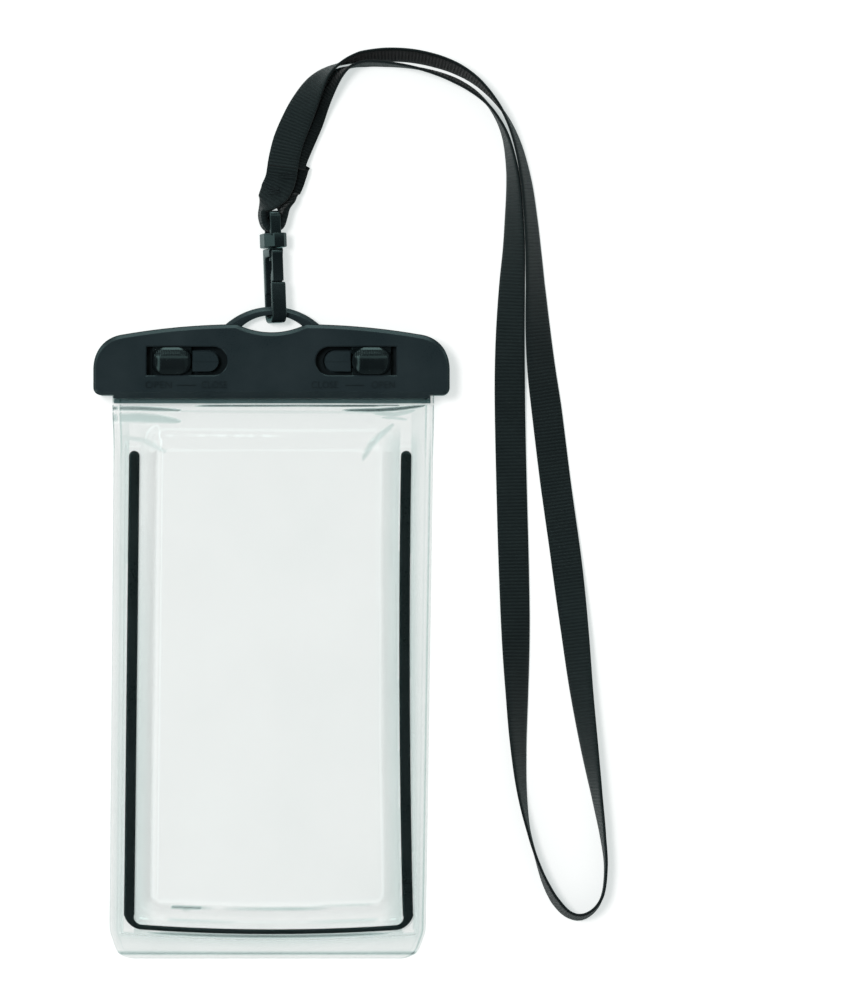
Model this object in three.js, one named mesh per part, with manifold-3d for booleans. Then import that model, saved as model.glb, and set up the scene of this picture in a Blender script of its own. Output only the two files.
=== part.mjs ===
// A clear waterproof pouch lying on its back: two welded films with a soft edge piping, a clamp of two jaws
// held shut by two slide locks, and a woven lanyard on a snap hook.
// Millimetres: x to the right, y along the pouch towards the clamp, z up from the surface it lies on.
import * as THREE from 'three';
import { mergeVertices } from 'three/addons/utils/BufferGeometryUtils.js';
import Module from 'manifold-3d';

const wasm = await Module();
wasm.setup();

// Overall
const pouchLength = 218;
const fitGap = 0.3;
const cutMargin = 1;

// Films: how far their edges lie inside the clamp's ends, at the clamp and at the far end, because the
// limp pouch lies a little askew
const filmThickness = 0.5;
const filmCornerRadius = 8.5;
const leftEdgeInsetTop = 6.6;
const leftEdgeInsetBottom = 5;
const rightEdgeInsetTop = 6.3;
const rightEdgeInsetBottom = 9.2;

// Edge piping: a soft strip in the welded channel, down both sides and across the far end, with the
// welded margin between it and the film's edge
const pipingWidth = 3.6;
const pipingHeight = 1.8;
const pipingFromClamp = 17.5;
const pipingCornerRadius = 4.2;
const leftMarginTop = 6.6;
const leftMarginBottom = 6.1;
const rightMarginTop = 7.9;
const rightMarginBottom = 4.5;
const rightPipeBow = 1.2;
const pipingRunFromEnd = 8.3;
const pipingRunRise = 1.4;
const channelSlope = 1.3;

// Pocket: the front film stands tented over the room for the phone
const pocketHeight = 10.5;
const pocketFromClamp = 19.6;
const pocketFromRun = 6.2;
const pocketSlope = 4;
const backRiseRun = 17.1;

// Clamp jaws: one outline for both
const clampWidth = 119.2;
const clampHeight = 23.3;
const clampCornerRadius = 2.5;
const clampSideHeight = 8.5;
const shoulderInset = 10.1;
const shoulderDrop = 3;
const shoulderHandle = 6.4;
const shoulderRun = 3.8;
const shoulderSag = 0.8;
const crownHandle = 18.5;
const crownSag = 0.2;
const notchHalfWidth = 11.8;
const notchDepth = 3.2;
const rearJawThickness = 6.4;
const frontJawTop = 14.2;
const jawWall = 2.2;
const jawFaceWall = 2;
const jawBevel = 1;
const filmReachIntoClamp = 4.5;
const gripBarWidth = 4.9;

// Lip of the rear jaw, seen through the film under the front jaw
const lipReach = 2.6;
const lipThickness = 2.8;
const lipInset = 7;

// Arch on the rear jaw, which the hook holds
const archBar = 2.9;
const archThickness = 2.3;
const archHalfSpan = 16;
const archRise = 6.6;
const archRoot = 3.9;
const archBevel = 0.45;

// Seal strip in the front jaw
const gasketWidth = 2;
const gasketThickness = 0.9;
const gasketInset = 9.6;
const gasketFromEdge = 1.5;

// Liner plate that closes the front jaw
const linerThickness = 1.7;

// Slide locks
const slotFromBottom = 11.4;
const slotHeight = 9.6;
const slotInset = 17.5;
const slotLength = 27.4;
const sliderInset = 2.1;
const sliderLength = 13.2;
const sliderTop = 16.2;
const sliderShoulder = 13.4;
const sliderBevel = 1.2;
const sliderEndWall = 2.5;
const flangeWidth = 12;
const postHeadWidth = 7;
const postHeadThickness = 1.6;
const postHeadTop = 12.9;
const postHeadInset = 3;
const postStemWidth = 4;
const postStemLength = 5.6;
const postBevel = 0.3;

// Hook, gate and swivel eye: across, along and towards the gate side, from the middle of the bend
const hookX = 1.33;
const hookSlack = 0.9;
const hookTurn = 17;
const hookLean = 2.07;
const hookBand = 4.9;
const hookHalfWidth = 5.2;
const hookArm = 1.7;
const hookLength = 25;
const hookBlockLength = 2.9;
const hookBlockFront = 3.6;
const hookBevel = 0.4;
const hookOuterRadius = 3;
const hookInnerRadius = 1.2;
const gateBand = 3.7;
const gateThickness = 1.5;
const gateInset = 0.1;
const gateBevel = 0.25;
const gateLength = 9.5;
const gatePivotFromEnd = 1.6;
const gatePivotOut = 4.2;
const gateBarrelRadius = 1;
const gateTongueLength = 2.2;
const gateSwing = 20;
const swivelBlockLength = 4.8;
const swivelBlockBand = 7.4;
const swivelHalfWidth = 4.75;
const eyeOpening = 5.7;
const eyeBar = 1.8;
const eyeArm = 1.75;
const eyeCorner = 2;
const stemRadius = 1.2;
const stemHeadRadius = 1.6;
const stemHeadThickness = 1;

// Lanyard webbing
const strapWidth = 10.3;
const strapThickness = 1;
const strapSelvedge = 0.8;
const strapSteps = 80;
const foldSteps = 36;
const stitchThickness = 0.4;
const stitchLength = 2.6;
const upperStitchWidth = 5.6;
const upperStitchPlace = [4.9, 16.8, 1.5];
const lowerStitchWidth = 4;
const lowerStitchPlace = [0.6, 11.4, 1.75];
const lowerStitchTilt = 12;

const degrees = Math.PI / 180;
const clampHalf = clampWidth / 2;
const leftEdgeTop = leftEdgeInsetTop - clampHalf;
const leftEdgeBottom = leftEdgeInsetBottom - clampHalf;
const rightEdgeTop = clampHalf - rightEdgeInsetTop;
const rightEdgeBottom = clampHalf - rightEdgeInsetBottom;
const leftPipeTop = leftEdgeTop + leftMarginTop;
const leftPipeBottom = leftEdgeBottom + leftMarginBottom;
const rightPipeTop = rightEdgeTop - rightMarginTop;
const rightPipeBottom = rightEdgeBottom - rightMarginBottom;
const shoulderX = clampHalf - shoulderInset;
const lipHalfWidth = clampHalf - lipInset;
const gasketLength = clampWidth - 2 * gasketInset;
const slotOuter = clampHalf - slotInset;
const slotInner = slotOuter - slotLength;
const sliderOuter = slotOuter - sliderInset;
const postHeadInner = slotInner + postHeadInset;
const pouchEnd = -pouchLength / 2;
const archTop = pouchLength / 2;
const crownY = archTop - archRise;
const clampBottom = crownY - clampHeight;
const clampSideTop = clampBottom + clampSideHeight;
const shoulderY = crownY - shoulderDrop;
const slotCentreY = clampBottom + slotFromBottom;
const pipingTop = clampBottom - pipingFromClamp;
const pocketTop = clampBottom - pocketFromClamp;
const backRiseStart = clampBottom - backRiseRun;
const partingZ = rearJawThickness + fitGap;
const filmEndY = clampBottom + filmReachIntoClamp;
const gripBarTop = clampBottom + gripBarWidth;
const frontFilmZ = partingZ + filmThickness + fitGap;
const gripBarZ = frontFilmZ + filmThickness + fitGap;
const runY = pouchEnd + pipingRunFromEnd;
const lipEdgeY = clampBottom - lipReach;
const hookEnd = hookLength + fitGap;
const hookBlockStart = hookLength - hookBlockLength;
const gatePivotAlong = hookLength - gatePivotFromEnd;
const hookNoseTop = gatePivotAlong - gateLength - fitGap;
const hookY = archTop - archBar - hookSlack - hookArm;
const hookTilt = hookTurn * degrees;
const hookZ = hookHalfWidth * Math.cos(hookTilt) + (hookBand / 2) * Math.sin(hookTilt) + fitGap;
const eyeMiddle = hookEnd + swivelBlockLength + eyeOpening / 2;
const eyeRoom = swivelHalfWidth - eyeArm;
const bunchedWidth = 2 * eyeRoom - 4 * fitGap;

const clampMaterial = new THREE.MeshStandardMaterial({ color: 0x20282c, roughness: 0.55, metalness: 0 });
const insideMaterial = new THREE.MeshStandardMaterial({ color: 0x1b2226, roughness: 0.6, metalness: 0 });
const sealMaterial = new THREE.MeshStandardMaterial({ color: 0x3a4144, roughness: 0.8, metalness: 0 });
const pipingMaterial = new THREE.MeshStandardMaterial({ color: 0x15201f, roughness: 0.25, metalness: 0 });
const webbingMaterial = new THREE.MeshStandardMaterial({ color: 0x182022, roughness: 0.85, metalness: 0 });
const filmMaterial = new THREE.MeshStandardMaterial({
  color: 0xe4ecea, roughness: 0.12, metalness: 0, transparent: true, opacity: 0.35,
});

function part(name, geometry, material) {
  const mesh = new THREE.Mesh(geometry, material);
  mesh.name = name;
  return mesh;
}

function toSolid(geometry) {
  const bare = geometry.clone();
  bare.deleteAttribute('normal');
  bare.deleteAttribute('uv');
  const merged = mergeVertices(bare, 1e-4);
  return new wasm.Manifold(new wasm.Mesh({
    numProp: 3,
    vertProperties: new Float32Array(merged.attributes.position.array),
    triVerts: new Uint32Array(merged.index.array),
  }));
}

function toGeometry(solid) {
  const mesh = solid.getMesh();
  const geometry = new THREE.BufferGeometry();
  const positions = new Float32Array(mesh.vertProperties);
  geometry.setAttribute('position', new THREE.BufferAttribute(positions, mesh.numProp));
  geometry.setIndex(new THREE.BufferAttribute(new Uint32Array(mesh.triVerts), 1));
  geometry.computeVertexNormals();
  return geometry;
}

function joined(geometries) {
  const [first, ...rest] = geometries.map(toSolid);
  return toGeometry(rest.reduce((whole, piece) => whole.add(piece), first));
}

function cut(geometry, cutters) {
  return toGeometry(cutters.map(toSolid).reduce((left, cutter) => left.subtract(cutter), toSolid(geometry)));
}

// A box from its lowest to its highest corner, in either order along x
function box(x0, x1, y0, y1, z0, z1) {
  const geometry = new THREE.BoxGeometry(Math.abs(x1 - x0), y1 - y0, z1 - z0);
  return geometry.translate((x0 + x1) / 2, (y0 + y1) / 2, (z0 + z1) / 2);
}

// A flat shape given thickness from z0 to z1, with its edges broken by a bevel
function slab(shape, z0, z1, bevel = 0, curveSegments = 8) {
  const geometry = new THREE.ExtrudeGeometry(shape, {
    depth: z1 - z0 - 2 * bevel,
    bevelEnabled: bevel > 0,
    bevelThickness: bevel,
    bevelSize: bevel,
    bevelOffset: -bevel,
    bevelSegments: 2,
    curveSegments,
  });
  return geometry.translate(0, 0, z0 + bevel);
}

function smooth(from, to, value) {
  return THREE.MathUtils.smoothstep(value, from, to);
}

function mix(from, to, share) {
  return from + (to - from) * share;
}

// A closed shell from rows of points: each row has an upper and a lower line with the same number of points
function shellFromRows(rows) {
  const count = rows[0].upper.length;
  const positions = [];
  const index = [];
  for (const row of rows) {
    for (const point of [...row.upper, ...row.lower]) positions.push(point.x, point.y, point.z);
  }
  const upper = (row, i) => row * count * 2 + i;
  const lower = (row, i) => row * count * 2 + count + i;
  const quad = (a, b, c, d) => index.push(a, b, c, a, c, d);
  for (let row = 0; row < rows.length - 1; row += 1) {
    for (let i = 0; i < count - 1; i += 1) {
      quad(upper(row, i), upper(row, i + 1), upper(row + 1, i + 1), upper(row + 1, i));
      quad(lower(row, i + 1), lower(row, i), lower(row + 1, i), lower(row + 1, i + 1));
    }
    quad(upper(row + 1, 0), lower(row + 1, 0), lower(row, 0), upper(row, 0));
    quad(upper(row, count - 1), lower(row, count - 1), lower(row + 1, count - 1), upper(row + 1, count - 1));
  }
  const last = rows.length - 1;
  for (let i = 0; i < count - 1; i += 1) {
    quad(upper(0, i), lower(0, i), lower(0, i + 1), upper(0, i + 1));
    quad(upper(last, i + 1), lower(last, i + 1), lower(last, i), upper(last, i));
  }
  const geometry = new THREE.BufferGeometry();
  geometry.setAttribute('position', new THREE.Float32BufferAttribute(positions, 3));
  geometry.setIndex(index);
  geometry.computeVertexNormals();
  return geometry;
}

// How far down the pouch a point lies, from 0 at the clamp to 1 at the far end
function share(y) {
  return (clampBottom - y) / (clampBottom - pouchEnd);
}

function leftEdge(y) {
  return mix(leftEdgeTop, leftEdgeBottom, share(y));
}

function rightEdge(y) {
  return mix(rightEdgeTop, rightEdgeBottom, share(y));
}

function leftPipe(y) {
  return mix(leftPipeTop, leftPipeBottom, share(y));
}

function rightPipe(y) {
  const down = THREE.MathUtils.clamp(share(y), 0, 1);
  return mix(rightPipeTop, rightPipeBottom, down) - rightPipeBow * 4 * down * (1 - down);
}

// The run across the far end bows: its ends lie higher than its middle
function bowed(x, y) {
  const half = (rightPipeBottom - leftPipeBottom) / 2;
  const reach = pipingRunFromEnd - cutMargin;
  const near = 1 - smooth(0, 2 * reach, Math.abs(y - runY) - pipingWidth);
  const hold = smooth(0, reach / 2, y - pouchEnd);
  return y + pipingRunRise * (x / half) ** 2 * near * hold;
}

// Underside of the back film: on the floor, then up to the parting face of the clamp
function backFilmZ(y) {
  return partingZ * smooth(backRiseStart, lipEdgeY - fitGap, y);
}

function pocketShare(x, y) {
  const seamLeft = leftPipe(y) + pipingWidth / 2 + channelSlope;
  const seamRight = rightPipe(y) - pipingWidth / 2 - channelSlope;
  const seamBottom = runY + pipingWidth / 2 + channelSlope;
  const across = smooth(0, pocketSlope, x - seamLeft) * smooth(0, pocketSlope, seamRight - x);
  const along = smooth(seamBottom, runY + pocketFromRun, y) * (1 - smooth(pocketTop, lipEdgeY, y));
  return across * along;
}

// How far the front film stands off the back film to pass over the piping
function channelLift(x, y) {
  const halfTop = pipingWidth / 2 + fitGap;
  const slope = (distance) => 1 - smooth(halfTop, halfTop + channelSlope, distance);
  const besideLeft = slope(Math.abs(x - leftPipe(y)));
  const besideRight = slope(Math.abs(x - rightPipe(y)));
  const belowTop = 1 - smooth(pipingTop + fitGap, pipingTop + fitGap + 2 * channelSlope, y);
  const aboveRun = smooth(runY - halfTop - channelSlope, runY - halfTop, y);
  const besideRun = slope(Math.abs(y - runY));
  const inside = Math.min(
    smooth(leftPipe(y) - halfTop - channelSlope, leftPipe(y) - halfTop, x),
    1 - smooth(rightPipe(y) + halfTop, rightPipe(y) + halfTop + channelSlope, x),
  );
  const legs = Math.max(besideLeft, besideRight) * belowTop * aboveRun;
  return (pipingHeight + fitGap) * Math.max(legs, besideRun * inside);
}

function frontFilmZAt(x, y) {
  const flat = backFilmZ(y) + filmThickness + fitGap;
  const tented = (pocketHeight - filmThickness - flat) * pocketShare(x, y);
  return flat + Math.max(channelLift(x, y), tented, 0);
}

function filmRowPlaces() {
  const halfTop = pipingWidth / 2 + fitGap;
  const rise = [0.86, 0.68, 0.5, 0.32, 0.14].map((at) => mix(backRiseStart, lipEdgeY, at));
  const channelEnd = [2 * channelSlope, channelSlope, 0].map((beyond) => pipingTop + fitGap + beyond);
  const pocketEnd = runY + pocketFromRun;
  const pocket = [0.01, 0.1, 0.25, 0.4, 0.54, 0.69, 0.82, 0.93].map((at) => mix(pocketTop, pocketEnd, at));
  const end = [1, 0.75, 0.5, 0.25].map((at) => runY + mix(halfTop + channelSlope, pocketFromRun, at));
  const beside = [halfTop + channelSlope, halfTop, 0, -halfTop, -halfTop - channelSlope];
  const channel = beside.map((distance) => runY + distance);
  const corner = [0.35, 0.55, 0.74, 0.88, 0.97, 1].map((at) => pouchEnd + filmCornerRadius * (1 - at));
  const atClamp = [filmEndY, clampBottom, lipEdgeY, ...rise];
  const places = [...atClamp, ...channelEnd, ...pocket, ...end, ...channel, ...corner];
  return [...new Set(places)].sort((a, b) => a - b);
}

// The rounded corners at the far end draw the edges in
function cornerInset(y) {
  const beyond = pouchEnd + filmCornerRadius - y;
  return beyond > 0 ? filmCornerRadius - Math.sqrt(Math.max(filmCornerRadius ** 2 - beyond ** 2, 0)) : 0;
}

function filmRow(y, columnsAt, undersideAt) {
  const left = leftEdge(y);
  const right = rightEdge(y);
  const middle = (left + right) / 2;
  const narrow = 1 - (2 * cornerInset(y)) / (right - left);
  const lower = columnsAt(y).map((x) => {
    const placed = middle + (x - middle) * narrow;
    return new THREE.Vector3(placed, bowed(placed, y), undersideAt(x, y));
  });
  const upper = lower.map((point) => point.clone().setZ(point.z + filmThickness));
  return { upper, lower };
}

function frontFilmColumns(y) {
  const halfTop = pipingWidth / 2 + fitGap;
  const seam = pipingWidth / 2 + channelSlope;
  const steps = [-halfTop - channelSlope, -halfTop, 0, halfTop, halfTop + channelSlope];
  const slope = [0.2, 0.45, 0.7, 1].map((at) => seam + pocketSlope * at);
  const left = leftPipe(y);
  const right = rightPipe(y);
  return [
    leftEdge(y), mix(leftEdge(y), left + steps[0], 0.5),
    ...steps.map((step) => left + step), ...slope.map((step) => left + step),
    mix(left, right, 0.36), mix(left, right, 0.5), mix(left, right, 0.64),
    ...slope.map((step) => right - step).reverse(), ...steps.map((step) => right + step),
    mix(rightEdge(y), right + steps.at(-1), 0.5), rightEdge(y),
  ];
}

function backFilmColumns(y) {
  return [0, 0.15, 0.32, 0.5, 0.68, 0.85, 1].map((at) => mix(leftEdge(y), rightEdge(y), at));
}

function backFilm() {
  const rows = filmRowPlaces().map((y) => filmRow(y, backFilmColumns, (x, row) => backFilmZ(row)));
  return part('back_film', shellFromRows(rows), filmMaterial);
}

function frontFilm() {
  const rows = filmRowPlaces().map((y) => filmRow(y, frontFilmColumns, frontFilmZAt));
  return part('front_film', shellFromRows(rows), filmMaterial);
}

// Centre line of the piping, from the top of the left leg round to the top of the right leg
function pipingRoute() {
  const route = [];
  const legSteps = 6;
  const cornerSteps = 4;
  const cornerY = runY + pipingCornerRadius;
  const tip = pipingTop - pipingWidth / 2;
  for (let i = 0; i <= legSteps; i += 1) {
    const y = mix(tip, cornerY, i / legSteps);
    route.push([leftPipe(y), y]);
  }
  const turn = (i) => (i / cornerSteps) * (Math.PI / 2);
  for (let i = 1; i <= cornerSteps; i += 1) {
    const x = leftPipe(runY) + pipingCornerRadius * (1 - Math.cos(turn(i)));
    route.push([x, cornerY - pipingCornerRadius * Math.sin(turn(i))]);
  }
  for (const at of [0.25, 0.5, 0.75]) route.push([mix(leftPipe(runY), rightPipe(runY), at), runY]);
  for (let i = cornerSteps; i >= 1; i -= 1) {
    const x = rightPipe(runY) - pipingCornerRadius * (1 - Math.cos(turn(i)));
    route.push([x, cornerY - pipingCornerRadius * Math.sin(turn(i))]);
  }
  for (let i = legSteps; i >= 0; i -= 1) {
    const y = mix(tip, cornerY, i / legSteps);
    route.push([rightPipe(y), y]);
  }
  return route;
}

function edgePiping() {
  const route = pipingRoute();
  const half = pipingWidth / 2;
  const crown = [[-1, 0.35], [-0.7, 0.85], [0, 1], [0.7, 0.85], [1, 0.35]];
  const rowAt = (x, y, sideX, sideY, width) => {
    const place = (across, height) => {
      const px = x + sideX * across * half * width;
      const py = y + sideY * across * half * width;
      const base = backFilmZ(py) + filmThickness + fitGap;
      return new THREE.Vector3(px, bowed(px, py), base + pipingHeight * height);
    };
    const upper = crown.map(([across, height]) => place(across, height));
    const lower = crown.map(([across]) => place(across, 0));
    return { upper, lower };
  };
  const rows = route.map(([x, y], i) => {
    const [ax, ay] = route[Math.max(i - 1, 0)];
    const [bx, by] = route[Math.min(i + 1, route.length - 1)];
    const length = Math.hypot(bx - ax, by - ay);
    return rowAt(x, y, (by - ay) / length, (ax - bx) / length, 1);
  });
  // Round ends on both legs
  const ends = [0.45, 0.8, 0.97];
  for (const reach of ends) {
    const width = Math.sqrt(1 - reach ** 2);
    rows.unshift(rowAt(route[0][0], route[0][1] + half * reach, -1, 0, width));
    rows.push(rowAt(route.at(-1)[0], route.at(-1)[1] + half * reach, 1, 0, width));
  }
  return part('edge_piping', shellFromRows(rows), pipingMaterial);
}

// The outline that both jaws share
function jawOutline() {
  const half = clampWidth / 2;
  const shape = new THREE.Shape();
  const corner = clampCornerRadius;
  const notchRadius = (notchHalfWidth ** 2 + notchDepth ** 2) / (2 * notchDepth);
  const notchCentreY = crownY - notchDepth + notchRadius;
  const notchAngle = Math.asin(notchHalfWidth / notchRadius);
  shape.moveTo(-half + corner, clampBottom);
  shape.lineTo(half - corner, clampBottom);
  shape.absarc(half - corner, clampBottom + corner, corner, -Math.PI / 2, 0);
  shape.lineTo(half, clampSideTop);
  const handleY = clampSideTop + shoulderHandle;
  const sagY = shoulderY - shoulderSag;
  shape.bezierCurveTo(half, handleY, half - shoulderRun, sagY, shoulderX, shoulderY);
  shape.quadraticCurveTo(shoulderX - crownHandle, crownY - crownSag, notchHalfWidth, crownY);
  shape.absarc(0, notchCentreY, notchRadius, -Math.PI / 2 + notchAngle, -Math.PI / 2 - notchAngle, true);
  shape.quadraticCurveTo(-shoulderX + crownHandle, crownY - crownSag, -shoulderX, shoulderY);
  shape.bezierCurveTo(-half + shoulderRun, sagY, -half, handleY, -half, clampSideTop);
  shape.lineTo(-half, clampBottom + corner);
  shape.absarc(-half + corner, clampBottom + corner, corner, Math.PI, 1.5 * Math.PI);
  return shape;
}

// The same outline drawn in by a wall's thickness
function insetOutline(distance) {
  const points = jawOutline().getPoints(8);
  const unique = points.filter((point, i) => point.distanceTo(points[(i + 1) % points.length]) > 1e-3);
  const drawn = unique.map((point, i) => {
    const before = unique[(i + unique.length - 1) % unique.length];
    const after = unique[(i + 1) % unique.length];
    const along = after.clone().sub(before).normalize();
    return new THREE.Vector2(point.x - along.y * distance, point.y + along.x * distance);
  });
  return new THREE.Shape(drawn);
}

// Slot for a slide lock: square at the outer end, round at the inner end
function slotShape(side, grow = 0) {
  const half = slotHeight / 2 + grow;
  const turnX = side * (slotInner + slotHeight / 2);
  const shape = new THREE.Shape();
  const outer = side * (slotOuter + grow);
  shape.moveTo(outer, slotCentreY - half * side);
  shape.lineTo(turnX, slotCentreY - half * side);
  shape.absarc(turnX, slotCentreY, half, -side * Math.PI / 2, side * Math.PI / 2, true);
  shape.lineTo(outer, slotCentreY + half * side);
  shape.closePath();
  return shape;
}

// Lock post head: square where the slider meets it, round at the inner end
function postHeadShape(side, grow = 0) {
  const half = postHeadWidth / 2 + grow;
  const inner = postHeadInner - grow;
  const outer = sliderOuter - sliderLength - fitGap + grow;
  const shape = new THREE.Shape();
  shape.moveTo(side * outer, slotCentreY - half * side);
  shape.lineTo(side * (inner + half), slotCentreY - half * side);
  shape.absarc(side * (inner + half), slotCentreY, half, -side * Math.PI / 2, side * Math.PI / 2, true);
  shape.lineTo(side * outer, slotCentreY + half * side);
  shape.closePath();
  return shape;
}

function lockPost(side) {
  const stemMiddle = side * (postHeadInner + postHeadWidth / 2 + postStemWidth / 4);
  const stem = box(
    stemMiddle - postStemLength / 2, stemMiddle + postStemLength / 2,
    slotCentreY - postStemWidth / 2, slotCentreY + postStemWidth / 2,
    rearJawThickness - cutMargin, postHeadTop - postHeadThickness / 2,
  );
  const head = slab(postHeadShape(side), postHeadTop - postHeadThickness, postHeadTop, postBevel, 5);
  return [stem, head];
}

function arch() {
  const outer = (archHalfSpan ** 2 + (archTop - crownY) ** 2) / (2 * (archTop - crownY));
  const centreY = archTop - outer;
  const foot = Math.asin((crownY - archRoot - centreY) / (outer - archBar / 2));
  const shape = new THREE.Shape();
  shape.absarc(0, centreY, outer, foot, Math.PI - foot);
  shape.absarc(0, centreY, outer - archBar, Math.PI - foot, foot, true);
  return slab(shape, rearJawThickness - archThickness, rearJawThickness, archBevel, 9);
}

function rearJaw() {
  const plate = cut(slab(jawOutline(), 0, rearJawThickness + cutMargin, jawBevel * 0.8), [
    box(-clampWidth, clampWidth, clampBottom - clampWidth, archTop, rearJawThickness, frontJawTop),
  ]);
  const lip = box(
    -lipHalfWidth, lipHalfWidth, lipEdgeY, clampBottom + cutMargin,
    rearJawThickness - lipThickness, rearJawThickness,
  );
  return part('rear_jaw', joined([plate, lip, arch(), ...lockPost(-1), ...lockPost(1)]), clampMaterial);
}

function frontJaw() {
  const gasketY = clampBottom + gasketFromEdge;
  const gasketHalf = gasketLength / 2 + fitGap;
  const half = clampWidth / 2;
  const cavity = cut(slab(insetOutline(jawWall), partingZ - cutMargin, frontJawTop - jawFaceWall), [
    box(-half, half, clampBottom - cutMargin, gripBarTop, 0, frontJawTop),
  ]);
  const body = cut(slab(jawOutline(), partingZ - 2 * cutMargin, frontJawTop, jawBevel), [
    box(-clampWidth, clampWidth, clampBottom - clampWidth, archTop, 0, partingZ),
    box(
      leftEdgeTop - cutMargin, rightEdgeTop + cutMargin,
      clampBottom - cutMargin, filmEndY + fitGap, partingZ - cutMargin, gripBarZ,
    ),
    box(
      -gasketHalf, gasketHalf, gasketY - fitGap, gasketY + gasketWidth + fitGap,
      gripBarZ - cutMargin, gripBarZ + gasketThickness + fitGap,
    ),
    cavity,
    slab(slotShape(-1), partingZ, frontJawTop + cutMargin, 0, 6),
    slab(slotShape(1), partingZ, frontJawTop + cutMargin, 0, 6),
  ]);
  return part('front_jaw', body, clampMaterial);
}

function jawGasket() {
  const y = clampBottom + gasketFromEdge;
  const strip = box(
    -gasketLength / 2, gasketLength / 2, y, y + gasketWidth, gripBarZ, gripBarZ + gasketThickness,
  );
  return part('jaw_gasket', strip, sealMaterial);
}

function jawLiner() {
  const half = clampWidth / 2;
  const plate = slab(insetOutline(jawWall + fitGap), partingZ, partingZ + linerThickness);
  const body = cut(plate, [
    box(-half, half, clampBottom - cutMargin, gripBarTop + fitGap, 0, frontJawTop),
    slab(postHeadShape(-1, 2 * fitGap), partingZ - cutMargin, frontJawTop, 0, 5),
    slab(postHeadShape(1, 2 * fitGap), partingZ - cutMargin, frontJawTop, 0, 5),
  ]);
  return part('jaw_liner', body, insideMaterial);
}

// Slide lock: a barrel in the slot on a flange behind the face, with a channel that takes the post's head
function slider(name, side) {
  const half = slotHeight / 2 - fitGap;
  const base = partingZ + linerThickness + fitGap;
  const flangeTop = frontJawTop - jawFaceWall - fitGap;
  const inner = sliderOuter - sliderLength;
  const rise = sliderTop - sliderShoulder;
  const radius = (half ** 2 + rise ** 2) / (2 * rise);
  const lift = Math.asin((radius - rise) / radius);
  const section = new THREE.Shape();
  section.moveTo(-half, base);
  section.lineTo(half, base);
  section.absarc(0, sliderTop - radius, radius, lift, Math.PI - lift);
  section.closePath();
  const barrel = slab(section, inner, sliderOuter, sliderBevel, 7);
  // The section's x becomes y, its y becomes z, and its thickness runs along x
  barrel.applyMatrix4(new THREE.Matrix4().makeBasis(
    new THREE.Vector3(0, 1, 0), new THREE.Vector3(0, 0, 1), new THREE.Vector3(1, 0, 0),
  ));
  barrel.translate(side > 0 ? 0 : -sliderOuter - inner, slotCentreY, 0);
  const flangeHalf = flangeWidth / 2;
  const flange = box(
    side * inner, side * sliderOuter, slotCentreY - flangeHalf, slotCentreY + flangeHalf, base, flangeTop,
  );
  const headRoom = postHeadWidth / 2 + fitGap;
  const stemRoom = postStemWidth / 2 + fitGap;
  const channelEnd = side * (sliderOuter - sliderEndWall);
  const mouth = side * (inner - cutMargin);
  const body = cut(joined([barrel, flange]), [
    box(
      mouth, channelEnd, slotCentreY - headRoom, slotCentreY + headRoom,
      postHeadTop - postHeadThickness - fitGap, postHeadTop + fitGap,
    ),
    box(mouth, channelEnd, slotCentreY - stemRoom, slotCentreY + stemRoom, base - cutMargin, postHeadTop),
  ]);
  return part(name, body, clampMaterial);
}

// A shape drawn along the hook (its x) and towards the gate side (its y), given a width across the hook
function acrossHook(shape, width, bevel = hookBevel) {
  const geometry = slab(shape, -width / 2, width / 2, bevel, 5);
  return geometry.applyMatrix4(new THREE.Matrix4().makeBasis(
    new THREE.Vector3(0, 1, 0), new THREE.Vector3(0, 0, 1), new THREE.Vector3(1, 0, 0),
  ));
}

function roundAlongHook(radius, from, to) {
  return new THREE.CylinderGeometry(radius, radius, to - from, 14).translate(0, (from + to) / 2, 0);
}

function roundAcrossHook(radius, length, along, out) {
  return new THREE.CylinderGeometry(radius, radius, length, 14).rotateZ(Math.PI / 2).translate(0, along, out);
}

function hookBody() {
  const outer = hookHalfWidth;
  const inner = hookHalfWidth - hookArm;
  const turn = hookArm + hookInnerRadius;
  // The block falls away under the gate's root, so that the gate can swing in
  const reliefDepth = (gatePivotAlong - hookBlockStart) * Math.tan(gateSwing * degrees);
  const shape = new THREE.Shape();
  shape.moveTo(hookLength, -outer);
  shape.lineTo(hookLength, hookBlockFront);
  shape.lineTo(gatePivotAlong, hookBlockFront);
  shape.lineTo(gatePivotAlong, hookBlockFront - fitGap);
  shape.lineTo(hookBlockStart, hookBlockFront - fitGap - reliefDepth);
  shape.lineTo(hookBlockStart, -inner);
  shape.lineTo(turn, -inner);
  shape.absarc(turn, -inner + hookInnerRadius, hookInnerRadius, 1.5 * Math.PI, Math.PI, true);
  shape.lineTo(hookArm, inner - hookInnerRadius);
  shape.absarc(turn, inner - hookInnerRadius, hookInnerRadius, Math.PI, Math.PI / 2, true);
  shape.lineTo(hookNoseTop, inner);
  shape.lineTo(hookNoseTop, outer);
  shape.lineTo(hookOuterRadius, outer);
  shape.absarc(hookOuterRadius, outer - hookOuterRadius, hookOuterRadius, Math.PI / 2, Math.PI);
  shape.absarc(hookOuterRadius, -outer + hookOuterRadius, hookOuterRadius, Math.PI, 1.5 * Math.PI);
  shape.closePath();
  const body = cut(acrossHook(shape, hookBand), [
    roundAlongHook(stemRadius + fitGap, hookBlockStart - cutMargin, hookLength + cutMargin),
    roundAcrossHook(gateBarrelRadius + fitGap, hookBand + 2 * cutMargin, gatePivotAlong, gatePivotOut),
  ]);
  return part('hook_body', body, clampMaterial);
}

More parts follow.
